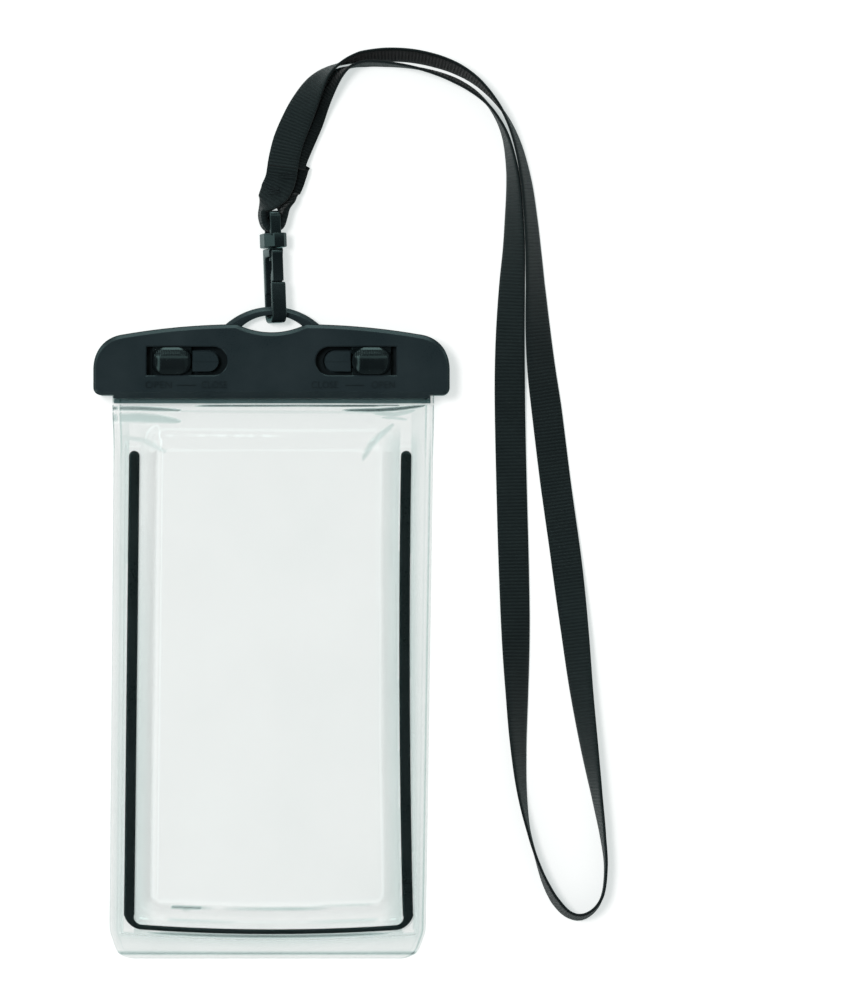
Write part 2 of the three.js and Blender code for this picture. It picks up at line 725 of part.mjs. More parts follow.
function hookGate() {
  const outer = hookHalfWidth - gateInset;
  const inner = outer - gateThickness;
  const tongueOut = hookHalfWidth - hookArm - fitGap;
  const tongueIn = tongueOut - gateThickness;
  const end = hookNoseTop + fitGap;
  const shape = new THREE.Shape();
  shape.moveTo(gatePivotAlong, outer);
  shape.lineTo(end, outer);
  shape.lineTo(end, tongueOut);
  shape.lineTo(hookNoseTop - gateTongueLength, tongueOut);
  shape.lineTo(hookNoseTop - gateTongueLength, tongueIn);
  shape.lineTo(end + gateTongueLength, tongueIn);
  shape.lineTo(end + 2 * gateTongueLength, inner);
  shape.lineTo(gatePivotAlong, inner);
  shape.closePath();
  const body = joined([
    acrossHook(shape, gateBand, gateBevel),
    roundAcrossHook(gateBarrelRadius, gateBand, gatePivotAlong, gatePivotOut),
  ]);
  return part('hook_gate', body, clampMaterial);
}

function swivelEye() {
  const blockEnd = hookEnd + swivelBlockLength;
  const eyeEnd = blockEnd + eyeOpening + eyeBar;
  const half = swivelHalfWidth;
  const corner = eyeCorner;
  const block = new THREE.Shape();
  block.moveTo(hookEnd, -half);
  block.lineTo(blockEnd, -half);
  block.lineTo(blockEnd, half);
  block.lineTo(hookEnd, half);
  block.closePath();
  const loop = new THREE.Shape();
  loop.moveTo(blockEnd - cutMargin, -half + hookBevel);
  loop.lineTo(eyeEnd - corner, -half + hookBevel);
  loop.absarc(eyeEnd - corner, -half + hookBevel + corner, corner, -Math.PI / 2, 0);
  loop.absarc(eyeEnd - corner, half - hookBevel - corner, corner, 0, Math.PI / 2);
  loop.lineTo(blockEnd - cutMargin, half - hookBevel);
  loop.closePath();
  const opening = new THREE.Path();
  opening.moveTo(blockEnd, -eyeRoom);
  opening.lineTo(blockEnd, eyeRoom);
  opening.lineTo(blockEnd + eyeOpening, eyeRoom);
  opening.lineTo(blockEnd + eyeOpening, -eyeRoom);
  opening.closePath();
  loop.holes.push(opening);
  const headStart = hookBlockStart - fitGap - stemHeadThickness;
  const body = joined([
    acrossHook(block, swivelBlockBand),
    acrossHook(loop, gateBand, gateBevel),
    roundAlongHook(stemRadius, headStart, hookEnd + cutMargin),
    roundAlongHook(stemHeadRadius, headStart, headStart + stemHeadThickness),
  ]);
  return part('swivel_eye', body, clampMaterial);
}

function snapHook() {
  const group = new THREE.Group();
  group.position.set(hookX, hookY, hookZ);
  group.rotation.set(0, hookTurn * degrees, hookLean * degrees, 'ZYX');
  group.add(hookBody(), hookGate(), swivelEye());
  return group;
}

// Half the height that the webbing takes up when it is rolled by this angle
function restHeight(roll) {
  return (strapWidth * Math.abs(Math.sin(roll)) + strapThickness * Math.abs(Math.cos(roll))) / 2;
}

// The webbing's middle line, with the roll about it: 0 lies flat, 90 stands on edge
class WebbingRoute extends THREE.Curve {
  constructor(points, onFloor) {
    super();
    const vectors = points.map(([x, y, z]) => new THREE.Vector3(x, y, z));
    this.places = new THREE.CatmullRomCurve3(vectors, false, 'centripetal');
    this.rolls = points.map((point) => point[3] * degrees);
    this.onFloor = onFloor;
  }

  rollAt(t) {
    const at = t * (this.rolls.length - 1);
    const from = Math.min(Math.floor(at), this.rolls.length - 2);
    return mix(this.rolls[from], this.rolls[from + 1], at - from);
  }

  getPoint(t, target = new THREE.Vector3()) {
    this.places.getPoint(t, target);
    if (this.onFloor) target.z += restHeight(this.rollAt(t));
    return target;
  }

  // Tangent, width and thickness directions: the width turns from level by the roll
  frameAt(u) {
    const tangent = this.getTangentAt(u);
    const level = new THREE.Vector3(tangent.y, -tangent.x, 0).normalize();
    const up = new THREE.Vector3().crossVectors(level, tangent);
    const roll = this.rollAt(this.getUtoTmapping(u));
    const width = level.clone().multiplyScalar(Math.cos(roll)).addScaledVector(up, Math.sin(roll));
    const thickness = up.clone().multiplyScalar(Math.cos(roll)).addScaledVector(level, -Math.sin(roll));
    return { tangent, width, thickness };
  }

  computeFrenetFrames(segments) {
    const frames = Array.from({ length: segments + 1 }, (_, i) => this.frameAt(i / segments));
    return {
      tangents: frames.map((frame) => frame.tangent),
      normals: frames.map((frame) => frame.thickness),
      binormals: frames.map((frame) => frame.width),
    };
  }
}

// The loop of webbing from the stitched end, up, round and back: x and y from the middle of the eye,
// clearance over the floor, roll
const lanyardPoints = [
  [3.4, 19.5, 6, 0], [3.8, 22.2, 5.2, 0], [5.3, 28.4, 3.6, 4], [8, 35.1, 2.2, 12],
  [10.8, 41.1, 1.4, 28], [14.3, 47.2, 0.6, 48], [18.7, 51.9, 0.2, 72], [23.7, 54.7, 0.1, 90],
  [29.4, 56.4, 0.1, 104], [37.8, 57.3, 0.1, 108], [46.9, 56.9, 0.1, 108], [55.6, 55, 0.1, 107],
  [62.3, 52.4, 0.1, 104], [68.7, 48.3, 0.1, 98], [75.1, 41.6, 0.1, 90], [79.2, 35.1, 0.2, 83],
  [82.4, 27, 0.5, 77], [85.2, 14.8, 0.6, 71], [86.7, 2.5, 0.4, 66], [87.6, -8.5, 0.2, 61],
  [88.3, -20.3, 0.1, 53], [89.2, -35.4, 0.1, 37], [90.4, -48.5, 0.1, 24], [92.2, -62.2, 0.1, 10],
  [95.2, -86.4, 0.1, 0], [98.9, -113.2, 0.1, -8], [101.6, -136.1, 0.1, -29], [103.9, -156.9, 0.1, -45],
  [106.6, -176.3, 0.1, -60], [109, -191.8, 0.1, -74], [111, -205.2, 0.1, -84], [112, -215.9, 0.1, -90],
  [110.8, -225.7, 0.1, -93], [107.8, -230.5, 0.1, -99], [103.6, -232.7, 0.1, -104], [99.6, -231.8, 0.1, -104],
  [95.4, -227.7, 0.1, -104], [91.8, -221.3, 0.1, -99], [88.8, -213.2, 0.1, -91], [86, -203.5, 0.1, -87],
  [83.8, -190.4, 0.1, -74], [82.6, -174.7, 0.1, -60], [82.1, -156.2, 0.1, -43], [81.6, -132.7, 0.1, -20],
  [80.7, -99.2, 0.1, 0], [80.1, -75, 0.1, 2], [79.8, -55.6, 0.1, 8], [79.9, -38, 0.1, 22],
  [80.5, -20.3, 0.1, 36], [81.1, -8.5, 0.1, 47], [81.2, 2, 0.1, 56], [81, 13, 0.1, 66],
  [80.3, 20.5, 0.1, 73], [78.4, 29.5, 0.1, 82], [75.9, 35.3, 0.1, 88], [72.2, 40.7, 0.1, 94],
  [67.3, 45.1, 0.1, 100], [61.3, 48.6, 0.1, 102], [54.9, 51.1, 0.1, 99], [46.9, 53.1, 0.1, 94],
  [37.8, 54.2, 0.1, 88], [30.9, 54.3, 0.1, 86], [26, 53.2, 0.1, 94], [21.6, 50.4, 0.1, 116],
  [17.7, 46, 0.1, 136], [14.6, 41, 0.1, 152], [11.9, 34.8, 0.6, 166], [9.3, 27.7, 2, 176],
  [7.1, 22.2, 3.8, 180], [6.6, 19.5, 4.7, 180],
];

// The end that goes through the eye and back: x, y, z from the middle of the eye, roll, how far it is bunched
const foldPoints = [
  [3.3, 18.9, 0.5, 0, 0], [2.6, 15.1, 0.5, 0, 0], [0.8, 11.2, 0.7, -12, 0.09], [-1.8, 7.7, 0.6, -35, 0.55],
  [-3.2, 4.8, 0.1, -72, 1], [-3.2, 2, 0, -73, 1], [-2.3, -0.4, 0, -78, 1], [0, -1.5, 0, -90, 1],
  [2.4, -0.4, 0, -102, 1], [3.3, 2, 0, -107, 1], [3.4, 4.8, -0.3, -108, 1], [4.1, 7.7, -1.2, -141, 0.55],
  [5.9, 11.2, -2.1, -168, 0.09], [6.2, 14.9, -2.3, -180, 0], [6.5, 18.9, -2.3, -180, 0],
];

// Half of the webbing's eight-sided section, for a width and a thickness
function webbingEdge(width, thickness) {
  const half = width / 2;
  return [[-half, thickness / 4], [-half + strapSelvedge, thickness / 2],
    [half - strapSelvedge, thickness / 2], [half, thickness / 4]];
}

function lanyardStrap() {
  // The section's x runs through the thickness and its y across the width
  const upper = webbingEdge(strapWidth, strapThickness).map(([x, y]) => new THREE.Vector2(y, x));
  const lower = upper.map((point) => new THREE.Vector2(-point.x, point.y)).reverse();
  const geometry = new THREE.ExtrudeGeometry(new THREE.Shape([...upper, ...lower]), {
    steps: strapSteps,
    extrudePath: new WebbingRoute(lanyardPoints, true),
  });
  return part('lanyard_strap', geometry, webbingMaterial);
}

function strapEndFold() {
  const route = new WebbingRoute(foldPoints, false);
  const bunchAt = (t) => {
    const at = t * (foldPoints.length - 1);
    const from = Math.min(Math.floor(at), foldPoints.length - 2);
    return mix(foldPoints[from][4], foldPoints[from + 1][4], at - from);
  };
  const rows = [];
  for (let i = 0; i <= foldSteps; i += 1) {
    const u = i / foldSteps;
    const bunched = mix(strapWidth, bunchedWidth, bunchAt(route.getUtoTmapping(u)));
    const centre = route.getPointAt(u);
    const { width, thickness } = route.frameAt(u);
    const place = ([x, y]) => centre.clone().addScaledVector(width, x).addScaledVector(thickness, y);
    // Bunched webbing is thicker by as much as it is narrower
    const edge = webbingEdge(bunched, (strapThickness * strapWidth) / bunched);
    rows.push({ upper: edge.map(place), lower: edge.map(([x, y]) => place([x, -y])) });
  }
  return part('strap_end_fold', shellFromRows(rows), webbingMaterial);
}

// A block of close stitches through the layers
function bartack(name, centre, width, tilt) {
  const mesh = part(name, new THREE.BoxGeometry(width, stitchLength, stitchThickness), webbingMaterial);
  mesh.position.set(...centre);
  mesh.rotation.y = -tilt * degrees;
  return mesh;
}

// The lanyard hangs on the eye, so all of it is placed from the middle of the eye's opening
function lanyard() {
  const x = hookX - eyeMiddle * Math.sin(hookLean * degrees);
  const y = hookY + eyeMiddle * Math.cos(hookLean * degrees);
  const onFloor = new THREE.Group();
  onFloor.position.set(x, y, 0);
  onFloor.add(lanyardStrap());
  const onEye = new THREE.Group();
  onEye.position.set(x, y, hookZ);
  onEye.add(strapEndFold());
  onEye.add(bartack('bartack_upper', upperStitchPlace, upperStitchWidth, 0));
  onEye.add(bartack('bartack_lower', lowerStitchPlace, lowerStitchWidth, lowerStitchTilt));
  return [onFloor, onEye];
}

function pouch() {
  const group = new THREE.Group();
  group.add(backFilm(), frontFilm(), edgePiping());
  group.add(rearJaw(), frontJaw(), jawLiner(), jawGasket());
  group.add(slider('slider_left', -1), slider('slider_right', 1));
  group.add(snapHook(), ...lanyard());
  return group;
}

export default pouch();
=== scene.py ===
import bpy
import bmesh
import math
from mathutils import Matrix, Vector, noise
from mathutils.geometry import tessellate_polygon


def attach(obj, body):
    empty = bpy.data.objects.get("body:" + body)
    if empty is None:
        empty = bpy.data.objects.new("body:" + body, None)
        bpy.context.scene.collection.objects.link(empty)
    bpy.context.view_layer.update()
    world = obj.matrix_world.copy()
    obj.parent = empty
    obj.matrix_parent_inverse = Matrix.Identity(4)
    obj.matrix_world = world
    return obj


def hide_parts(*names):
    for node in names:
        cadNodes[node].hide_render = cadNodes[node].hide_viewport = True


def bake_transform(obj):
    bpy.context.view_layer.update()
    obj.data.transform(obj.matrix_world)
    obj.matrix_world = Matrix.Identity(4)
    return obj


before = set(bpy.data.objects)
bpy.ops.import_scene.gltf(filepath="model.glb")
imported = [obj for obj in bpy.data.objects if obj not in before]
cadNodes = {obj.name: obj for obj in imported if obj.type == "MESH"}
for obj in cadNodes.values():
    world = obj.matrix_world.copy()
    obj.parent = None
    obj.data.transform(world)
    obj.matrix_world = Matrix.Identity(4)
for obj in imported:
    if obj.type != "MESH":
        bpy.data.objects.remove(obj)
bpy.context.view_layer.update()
mm = 0.001

# Camera straight above the pouch
shot = {"middle": (50.5, 44.0), "height": 335.6, "level": 8.0, "distance": 1500.0, "sensor": 36.0}


def makeCamera():
    camera = bpy.data.cameras.new("shotCamera")
    camera.sensor_fit = "VERTICAL"
    camera.sensor_height = shot["sensor"]
    camera.lens = shot["sensor"] * shot["distance"] / shot["height"]
    camera.clip_start = 0.05
    camera.clip_end = 20.0
    holder = bpy.data.objects.new("shotCamera", camera)
    x, y = shot["middle"]
    holder.location = (x * mm, y * mm, (shot["level"] + shot["distance"]) * mm)
    bpy.context.scene.collection.objects.link(holder)
    bpy.context.scene.camera = holder


makeCamera()
print("camera set")


# Helpers for meshes
def mix(a, b, share):
    return a + (b - a) * share


def smooth(a, b, value):
    t = min(max((value - a) / (b - a), 0.0), 1.0)
    return t * t * (3 - 2 * t)


# Points in millimetres
def meshPiece(name, points, faces, sharp=40.0):
    mesh = bpy.data.meshes.new(name)
    mesh.from_pydata([Vector(p) * mm for p in points], [], faces)
    mesh.update()
    return placed(name, mesh, sharp)


def placed(name, mesh, sharp=40.0):
    piece = bpy.data.objects.new(name, mesh)
    bpy.context.scene.collection.objects.link(piece)
    mesh.shade_smooth()
    if sharp is not None:
        mesh.set_sharp_from_angle(angle=math.radians(sharp))
    return piece


def applyModifiers(piece, sharp=40.0):
    graph = bpy.context.evaluated_depsgraph_get()
    mesh = bpy.data.meshes.new_from_object(piece.evaluated_get(graph))
    piece.modifiers.clear()
    old = piece.data
    piece.data = mesh
    bpy.data.meshes.remove(old)
    mesh.name = piece.name
    mesh.shade_smooth()
    if sharp is not None:
        mesh.set_sharp_from_angle(angle=math.radians(sharp))
    return piece


# A closed loop that turns left, drawn in by a distance
def drawnIn(loop, distance):
    if abs(distance) < 1e-9:
        return [tuple(p) for p in loop]
    result = []
    count = len(loop)
    for i in range(count):
        before = Vector(loop[i - 1])
        here = Vector(loop[i])
        after = Vector(loop[(i + 1) % count])
        one = (here - before).normalized()
        two = (after - here).normalized()
        side = Vector((-one.y - two.y, one.x + two.x))
        side.normalize()
        spread = max(side.dot(Vector((-one.y, one.x))), 0.5)
        place = here + side * (distance / spread)
        result.append((place.x, place.y))
    return result


# A closed solid from loops of points, lowest first
def stack(loops):
    points = [p for loop in loops for p in loop]
    count = len(loops[0])
    faces = []
    for level in range(len(loops) - 1):
        low = level * count
        high = low + count
        for i in range(count):
            j = (i + 1) % count
            faces.append((low + i, low + j, high + j, high + i))
    caps = tessellate_polygon([[Vector((p[0], p[1], 0)) for p in loops[0]]])
    facing = sum(signedArea([loops[0][i] for i in tri]) for tri in caps)
    for tri in caps:
        up = tri if facing > 0 else tri[::-1]
        faces.append(tuple(reversed(up)))
        faces.append(tuple(i + (len(loops) - 1) * count for i in up))
    return points, faces


def signedArea(corners):
    total = 0.0
    for i in range(len(corners)):
        x0, y0 = corners[i][0], corners[i][1]
        x1, y1 = corners[(i + 1) % len(corners)][0], corners[(i + 1) % len(corners)][1]
        total += x0 * y1 - x1 * y0
    return total / 2


# Levels of a slab with rounded lower and upper edges
def slabLoops(loop, low, high, lowRound=0.0, highRound=0.0, steps=5):
    levels = []
    for i in range(steps + 1 if lowRound else 1):
        turn = math.pi / 2 * (1 - i / steps) if lowRound else 0
        inset = lowRound * (1 - math.cos(turn))
        levels.append((inset, low + lowRound - lowRound * math.sin(turn)))
    for i in range(steps + 1 if highRound else 1):
        turn = math.pi / 2 * i / steps if highRound else 0
        inset = highRound * (1 - math.cos(turn))
        levels.append((inset, high - highRound + highRound * math.sin(turn)))
    return [[(x, y, z) for x, y in drawnIn(loop, inset)] for inset, z in levels]


def slab(name, loop, low, high, lowRound=0.0, highRound=0.0, steps=5):
    points, faces = stack(slabLoops(loop, low, high, lowRound, highRound, steps))
    return meshPiece(name, points, faces)


def dropPiece(piece):
    old = piece.data
    bpy.data.objects.remove(piece)
    bpy.data.meshes.remove(old)


def combined(piece, others, operation, sharp):
    for other in others:
        step = piece.modifiers.new("shape", "BOOLEAN")
        step.operation = operation
        step.solver = "EXACT"
        step.object = other
    applyModifiers(piece, sharp)
    for other in others:
        dropPiece(other)
    return piece


def cutAway(piece, cutters, sharp=40.0):
    return combined(piece, cutters, "DIFFERENCE", sharp)


def unite(pieces, sharp=40.0):
    return combined(pieces[0], pieces[1:], "UNION", sharp)


def facingOut(piece):
    shell = bmesh.new()
    shell.from_mesh(piece.data)
    bmesh.ops.recalc_face_normals(shell, faces=shell.faces)
    shell.to_mesh(piece.data)
    shell.free()
    return piece


# Faces of a closed tube whose points come ring by ring
def tubeFaces(rings, sides):
    faces = []
    for r in range(rings - 1):
        low, high = r * sides, (r + 1) * sides
        for s in range(sides):
            n = (s + 1) % sides
            faces.append((low + s, low + n, high + n, high + s))
    faces.append(tuple(range(sides))[::-1])
    faces.append(tuple((rings - 1) * sides + s for s in range(sides)))
    return faces


def boxLoop(x0, x1, y0, y1):
    return [(x0, y0), (x1, y0), (x1, y1), (x0, y1)]


# One piece from several that stay closed solids of their own
def joinPieces(name, pieces, sharp=40.0):
    whole = bmesh.new()
    for piece in pieces:
        piece.data.transform(piece.matrix_world)
        whole.from_mesh(piece.data)
        dropPiece(piece)
    mesh = bpy.data.meshes.new(name)
    whole.to_mesh(mesh)
    whole.free()
    return placed(name, mesh, sharp)


# A point on the smooth curve through the points, with at from 0 to 1
def curvePoint(points, at):
    spans = len(points) - 1
    position = min(max(at, 0.0), 1.0) * spans
    i = min(int(position), spans - 1)
    w = position - i
    p1, p2 = points[i], points[i + 1]
    p0 = points[i - 1] if i > 0 else p1 * 2 - p2
    p3 = points[i + 2] if i + 2 <= spans else p2 * 2 - p1
    d0 = max((p1 - p0).length, 1e-6) ** 0.5
    d1 = max((p2 - p1).length, 1e-6) ** 0.5
    d2 = max((p3 - p2).length, 1e-6) ** 0.5
    t1 = ((p1 - p0) / d0 - (p2 - p0) / (d0 + d1) + (p2 - p1) / d1) * d1
    t2 = ((p2 - p1) / d1 - (p3 - p1) / (d1 + d2) + (p3 - p2) / d2) * d1
    c2 = (p2 - p1) * 3 - t1 * 2 - t2
    c3 = (p1 - p2) * 2 + t1 + t2
    return p1 + t1 * w + c2 * w * w + c3 * w * w * w


# Lanyard webbing
webbing = {
    "width": 10.3, "thick": 1.0, "bunched": 4.8, "folded": 0.16, "steps": 620, "foldSteps": 130, "finer": 6,
}
eye = {"x": 0.14, "y": 136.43, "z": 5.989}  # middle of the swivel eye's opening

# x and y from the middle of the eye, clearance over the floor, roll
lanyardPoints = [
    [3.4, 19.5, 6, 0], [3.8, 22.2, 5.2, 0], [5.3, 28.4, 3.6, 4], [8, 35.1, 2.2, 12],
    [10.8, 41.1, 1.4, 28], [14.3, 47.2, 0.6, 48], [18.7, 51.9, 0.2, 72], [23.7, 54.7, 0.1, 90],
    [29.4, 56.4, 0.1, 104], [37.8, 57.3, 0.1, 108], [46.9, 56.9, 0.1, 108], [55.6, 55, 0.1, 107],
    [62.3, 52.4, 0.1, 104], [68.7, 48.3, 0.1, 98], [75.1, 41.6, 0.1, 90], [79.2, 35.1, 0.2, 83],
    [82.4, 27, 0.5, 77], [85.2, 14.8, 0.6, 71], [86.7, 2.5, 0.4, 66], [87.6, -8.5, 0.2, 61],
    [88.3, -20.3, 0.1, 53], [89.2, -35.4, 0.1, 37], [90.4, -48.5, 0.1, 24], [92.2, -62.2, 0.1, 10],
    [95.2, -86.4, 0.1, 0], [98.9, -113.2, 0.1, -8], [101.6, -136.1, 0.1, -29], [103.9, -156.9, 0.1, -45],
    [106.6, -176.3, 0.1, -60], [109, -191.8, 0.1, -74], [111, -205.2, 0.1, -84],
    [112, -215.9, 0.1, -90], [110.8, -225.7, 0.1, -93], [107.8, -230.5, 0.1, -99],
    [103.6, -232.7, 0.1, -104], [99.6, -231.8, 0.1, -104], [95.4, -227.7, 0.1, -104],
    [91.8, -221.3, 0.1, -99], [88.8, -213.2, 0.1, -91], [86, -203.5, 0.1, -87],
    [83.8, -190.4, 0.1, -74], [82.6, -174.7, 0.1, -60], [82.1, -156.2, 0.1, -43], [81.6, -132.7, 0.1, -20],
    [80.7, -99.2, 0.1, 0], [80.1, -75, 0.1, 2], [79.8, -55.6, 0.1, 8], [79.9, -38, 0.1, 22],
    [80.5, -20.3, 0.1, 36], [81.1, -8.5, 0.1, 47], [81.2, 2, 0.1, 56], [81, 13, 0.1, 66],
    [80.3, 20.5, 0.1, 73], [78.4, 29.5, 0.1, 82], [75.9, 35.3, 0.1, 88], [72.2, 40.7, 0.1, 94],
    [67.3, 45.1, 0.1, 100], [61.3, 48.6, 0.1, 102], [54.9, 51.1, 0.1, 99], [46.9, 53.1, 0.1, 94],
    [37.8, 54.2, 0.1, 88], [30.9, 54.3, 0.1, 86], [26, 53.2, 0.1, 94], [21.6, 50.4, 0.1, 116],
    [17.7, 46, 0.1, 136], [14.6, 41, 0.1, 152], [11.9, 34.8, 0.6, 166], [8.7, 27.7, 2, 176],
    [6.5, 22.2, 3.8, 180], [5.9, 19.5, 4.7, 180],
]

# x, y and z from the middle of the eye, roll, how far it is bunched
foldPoints = [
    [3.5, 20.9, -0.9, 0, 0], [3.4, 20, -0.5, 0, 0],
    [3.3, 18.9, 0.5, 0, 0], [2.6, 15.1, 0.5, 0, 0], [0.8, 11.2, 0.7, -10, 0], [-1.6, 7.7, 0.8, -30, 0.3],
    [-3.2, 4.8, 0.1, -72, 1], [-3.2, 2, 0, -73, 1], [-2.3, -0.4, 0, -78, 1], [0, -1.5, 0, -90, 1],
    [2.4, -0.4, 0, -102, 1], [3.3, 2, 0, -107, 1], [3.8, 4.8, -0.5, -116, 0.85],
    [4.1, 7.7, -1.3, -148, 0.42], [4.2, 11.2, -2.1, -171, 0.05], [5.5, 14.9, -2.3, -180, 0],
    [6.8, 18.9, -2.3, -180, 0],
    [7.1, 20.1, -3, -180, 0], [7.9, 21.7, -3.2, -180, 0],
]


def restHeight(roll):
    turn = math.radians(roll)
    return (webbing["width"] * abs(math.sin(turn)) + webbing["thick"] * abs(math.cos(turn))) / 2


def between(values, at):
    spans = len(values) - 1
    position = min(max(at, 0.0), 1.0) * spans
    i = min(int(position), spans - 1)
    return mix(values[i], values[i + 1], position - i)


# Even stations: the middle, the ways across and through, how far it is bunched, the distance run
def webbingStations(points, steps, onFloor):
    level = 0 if onFloor else eye["z"]
    places = [Vector((p[0] + eye["x"], p[1] + eye["y"], p[2] + level)) for p in points]
    rolls = [p[3] for p in points]
    bunches = [p[4] if len(p) > 4 else 0.0 for p in points]
    fine = []
    fineSteps = steps * webbing["finer"]
    for i in range(fineSteps + 1):
        at = i / fineSteps
        place = curvePoint(places, at)
        roll = between(rolls, at)
        if onFloor:
            place = place + Vector((0, 0, restHeight(roll)))
        fine.append((place, roll, between(bunches, at)))
    run = [0.0]
    for before, after in zip(fine, fine[1:]):
        run.append(run[-1] + (after[0] - before[0]).length)
    stations = []
    k = 0
    for i in range(steps + 1):
        target = run[-1] * i / steps
        while k < len(run) - 2 and run[k + 1] < target:
            k += 1
        w = (target - run[k]) / max(run[k + 1] - run[k], 1e-9)
        stations.append([mix(one, two, w) for one, two in zip(fine[k], fine[k + 1])] + [target])
    result = []
    for i, (place, roll, bunch, along) in enumerate(stations):
        ahead = stations[min(i + 1, steps)][0]
        behind = stations[max(i - 1, 0)][0]
        way = (ahead - behind).normalized()
        level = Vector((way.y, -way.x, 0)).normalized()
        up = level.cross(way)
        turn = math.radians(roll)
        across = level * math.cos(turn) + up * math.sin(turn)
        through = up * math.cos(turn) - level * math.sin(turn)
        result.append((place, across, through, bunch, along))
    return result


# Flat webbing with thin selvedges, its UVs in millimetres across and along
def webbingPiece(name, stations):
    columns = [-1.0, -0.97, -0.86, -0.8, -0.5, 0.0, 0.5, 0.8, 0.86, 0.97, 1.0]
    heights = [0.28, 0.42, 0.44, 0.5, 0.5, 0.5, 0.5, 0.5, 0.44, 0.42, 0.28]
    section = list(zip(columns, heights)) + [(c, -h) for c, h in zip(columns[::-1], heights)]
    points = []
    places = []
    shadedSides = []
    for place, across, through, bunch, along in stations:
        width = mix(webbing["width"], webbing["bunched"], bunch)
        thick = webbing["thick"] * webbing["width"] / width
        for c, h in section:
            fold = 0.0
            if bunch > 0.02 and abs(h) > 0.4:
                fold = webbing["folded"] * bunch * math.sin(c * 7.5 + (1.2 if h < 0 else 0.0))
            points.append(place + across * (c * width / 2) + through * ((h + fold * h) * thick))
            places.append((c * webbing["width"] / 2, along))
            # The underside is marked for a painted shade, darker than the face
            shadedSides.append(1.0 if h < 0 else 0.0)
    piece = facingOut(meshPiece(name, points, tubeFaces(len(stations), len(section)), 50.0))
    lower = piece.data.attributes.new("shadedUnderside", "FLOAT", "POINT")
    lower.data.foreach_set("value", shadedSides)
    uvs = piece.data.uv_layers.new(name="weave")
    for loop in piece.data.loops:
        uvs.data[loop.index].uv = places[loop.vertex_index]
    return piece


strapStations = webbingStations(lanyardPoints, webbing["steps"], True)
foldStations = webbingStations(foldPoints, webbing["foldSteps"], False)
neckStrap = webbingPiece("neckStrap", strapStations)
strapTurn = webbingPiece("strapTurn", foldStations)


# Stitches over the webbing's end
stitching = {"thick": 0.32, "pitch": 0.42, "lift": 0.12, "slant": 0.16, "rings": 7, "sides": 6}


# Close zigzag stitches over a block of the webbing
def stitchBlock(name, middle, width, length, lean):
    pieces = []
    count = int(length / stitching["pitch"])
    for i in range(count):
        y = (i - (count - 1) / 2) * stitching["pitch"]
        slant = stitching["slant"] if i % 2 else -stitching["slant"]
        points = []
        for r in range(stitching["rings"]):
            share = r / (stitching["rings"] - 1)
            x = mix(-width / 2, width / 2, share)
            wave = stitching["lift"] * math.sin(share * math.pi) ** 0.4
            thin = stitching["thick"] / 2 * (0.25 + 0.75 * math.sin(max(share * math.pi, 0.05)) ** 0.35)
            middleY = y + slant * mix(-1, 1, share)
            for s in range(stitching["sides"]):
                a = 2 * math.pi * s / stitching["sides"]
                points.append((x, middleY + thin * math.cos(a), wave + thin * math.sin(a)))
        faces = tubeFaces(stitching["rings"], stitching["sides"])
        pieces.append(meshPiece(name + str(i), points, faces, None))
    block = joinPieces(name, pieces, None)
    place = Matrix.Translation(Vector(middle) * mm)
    block.data.transform(place @ Matrix.Rotation(math.radians(-lean), 4, "Y"))
    return facingOut(block)


upperStitches = stitchBlock("upperStitches", (5.04, 153.23, 7.45), 5.6, 2.6, 0)
lowerStitches = stitchBlock("lowerStitches", (0.74, 147.83, 7.68), 4.0, 2.6, 12)

# The two jaws of the clamp
clamp = {
    "width": 119.2, "bottom": 79.1, "corner": 2.5, "sideTop": 87.6, "shoulder": (49.5, 99.4),
    "crown": 102.8, "notchHalf": 11.6, "notchDeep": 2.7, "parting": 6.7, "rearTop": 6.4, "frontTop": 14.2,
    "topChamfer": 1.2, "sideChamfer": 0.85, "footChamfer": 1.0, "footHalf": 53.0, "footLow": 78.05,
    "footTop": 80.3, "footDrop": 2.0, "footBase": 8.9, "footLap": 1.6, "slopeLap": 2.6, "slopeIn": 0.8,
    "wall": 2.2, "lowWall": 4.9, "faceWall": 2.0, "slotY": 90.5, "slotHigh": 9.6, "slotOuter": 41.8,
    "slotInner": 14.7, "slotChamfer": 0.36, "passage": (-54.0, 54.3), "passageTop": 8.3,
    "lip": (-53.2, 53.2, 76.5, 80.1), "lipBase": 3.6, "sideHandle": 6.4, "shoulderHandle": (3.8, 0.8),
    "crownHandle": (18.5, 0.2),
}


def arc(x, y, radius, start, end, steps):
    turns = [mix(start, end, i / steps) for i in range(steps + 1)]
    return [(x + radius * math.cos(turn), y + radius * math.sin(turn)) for turn in turns]


def bezier(points, steps):
    result = []
    for i in range(1, steps + 1):
        level = [Vector(p) for p in points]
        while len(level) > 1:
            level = [mix(a, b, i / steps) for a, b in zip(level, level[1:])]
        result.append(tuple(level[0]))
    return result


def tidyLoop(loop):
    return [p for i, p in enumerate(loop) if (Vector(p) - Vector(loop[i - 1])).length > 0.02]


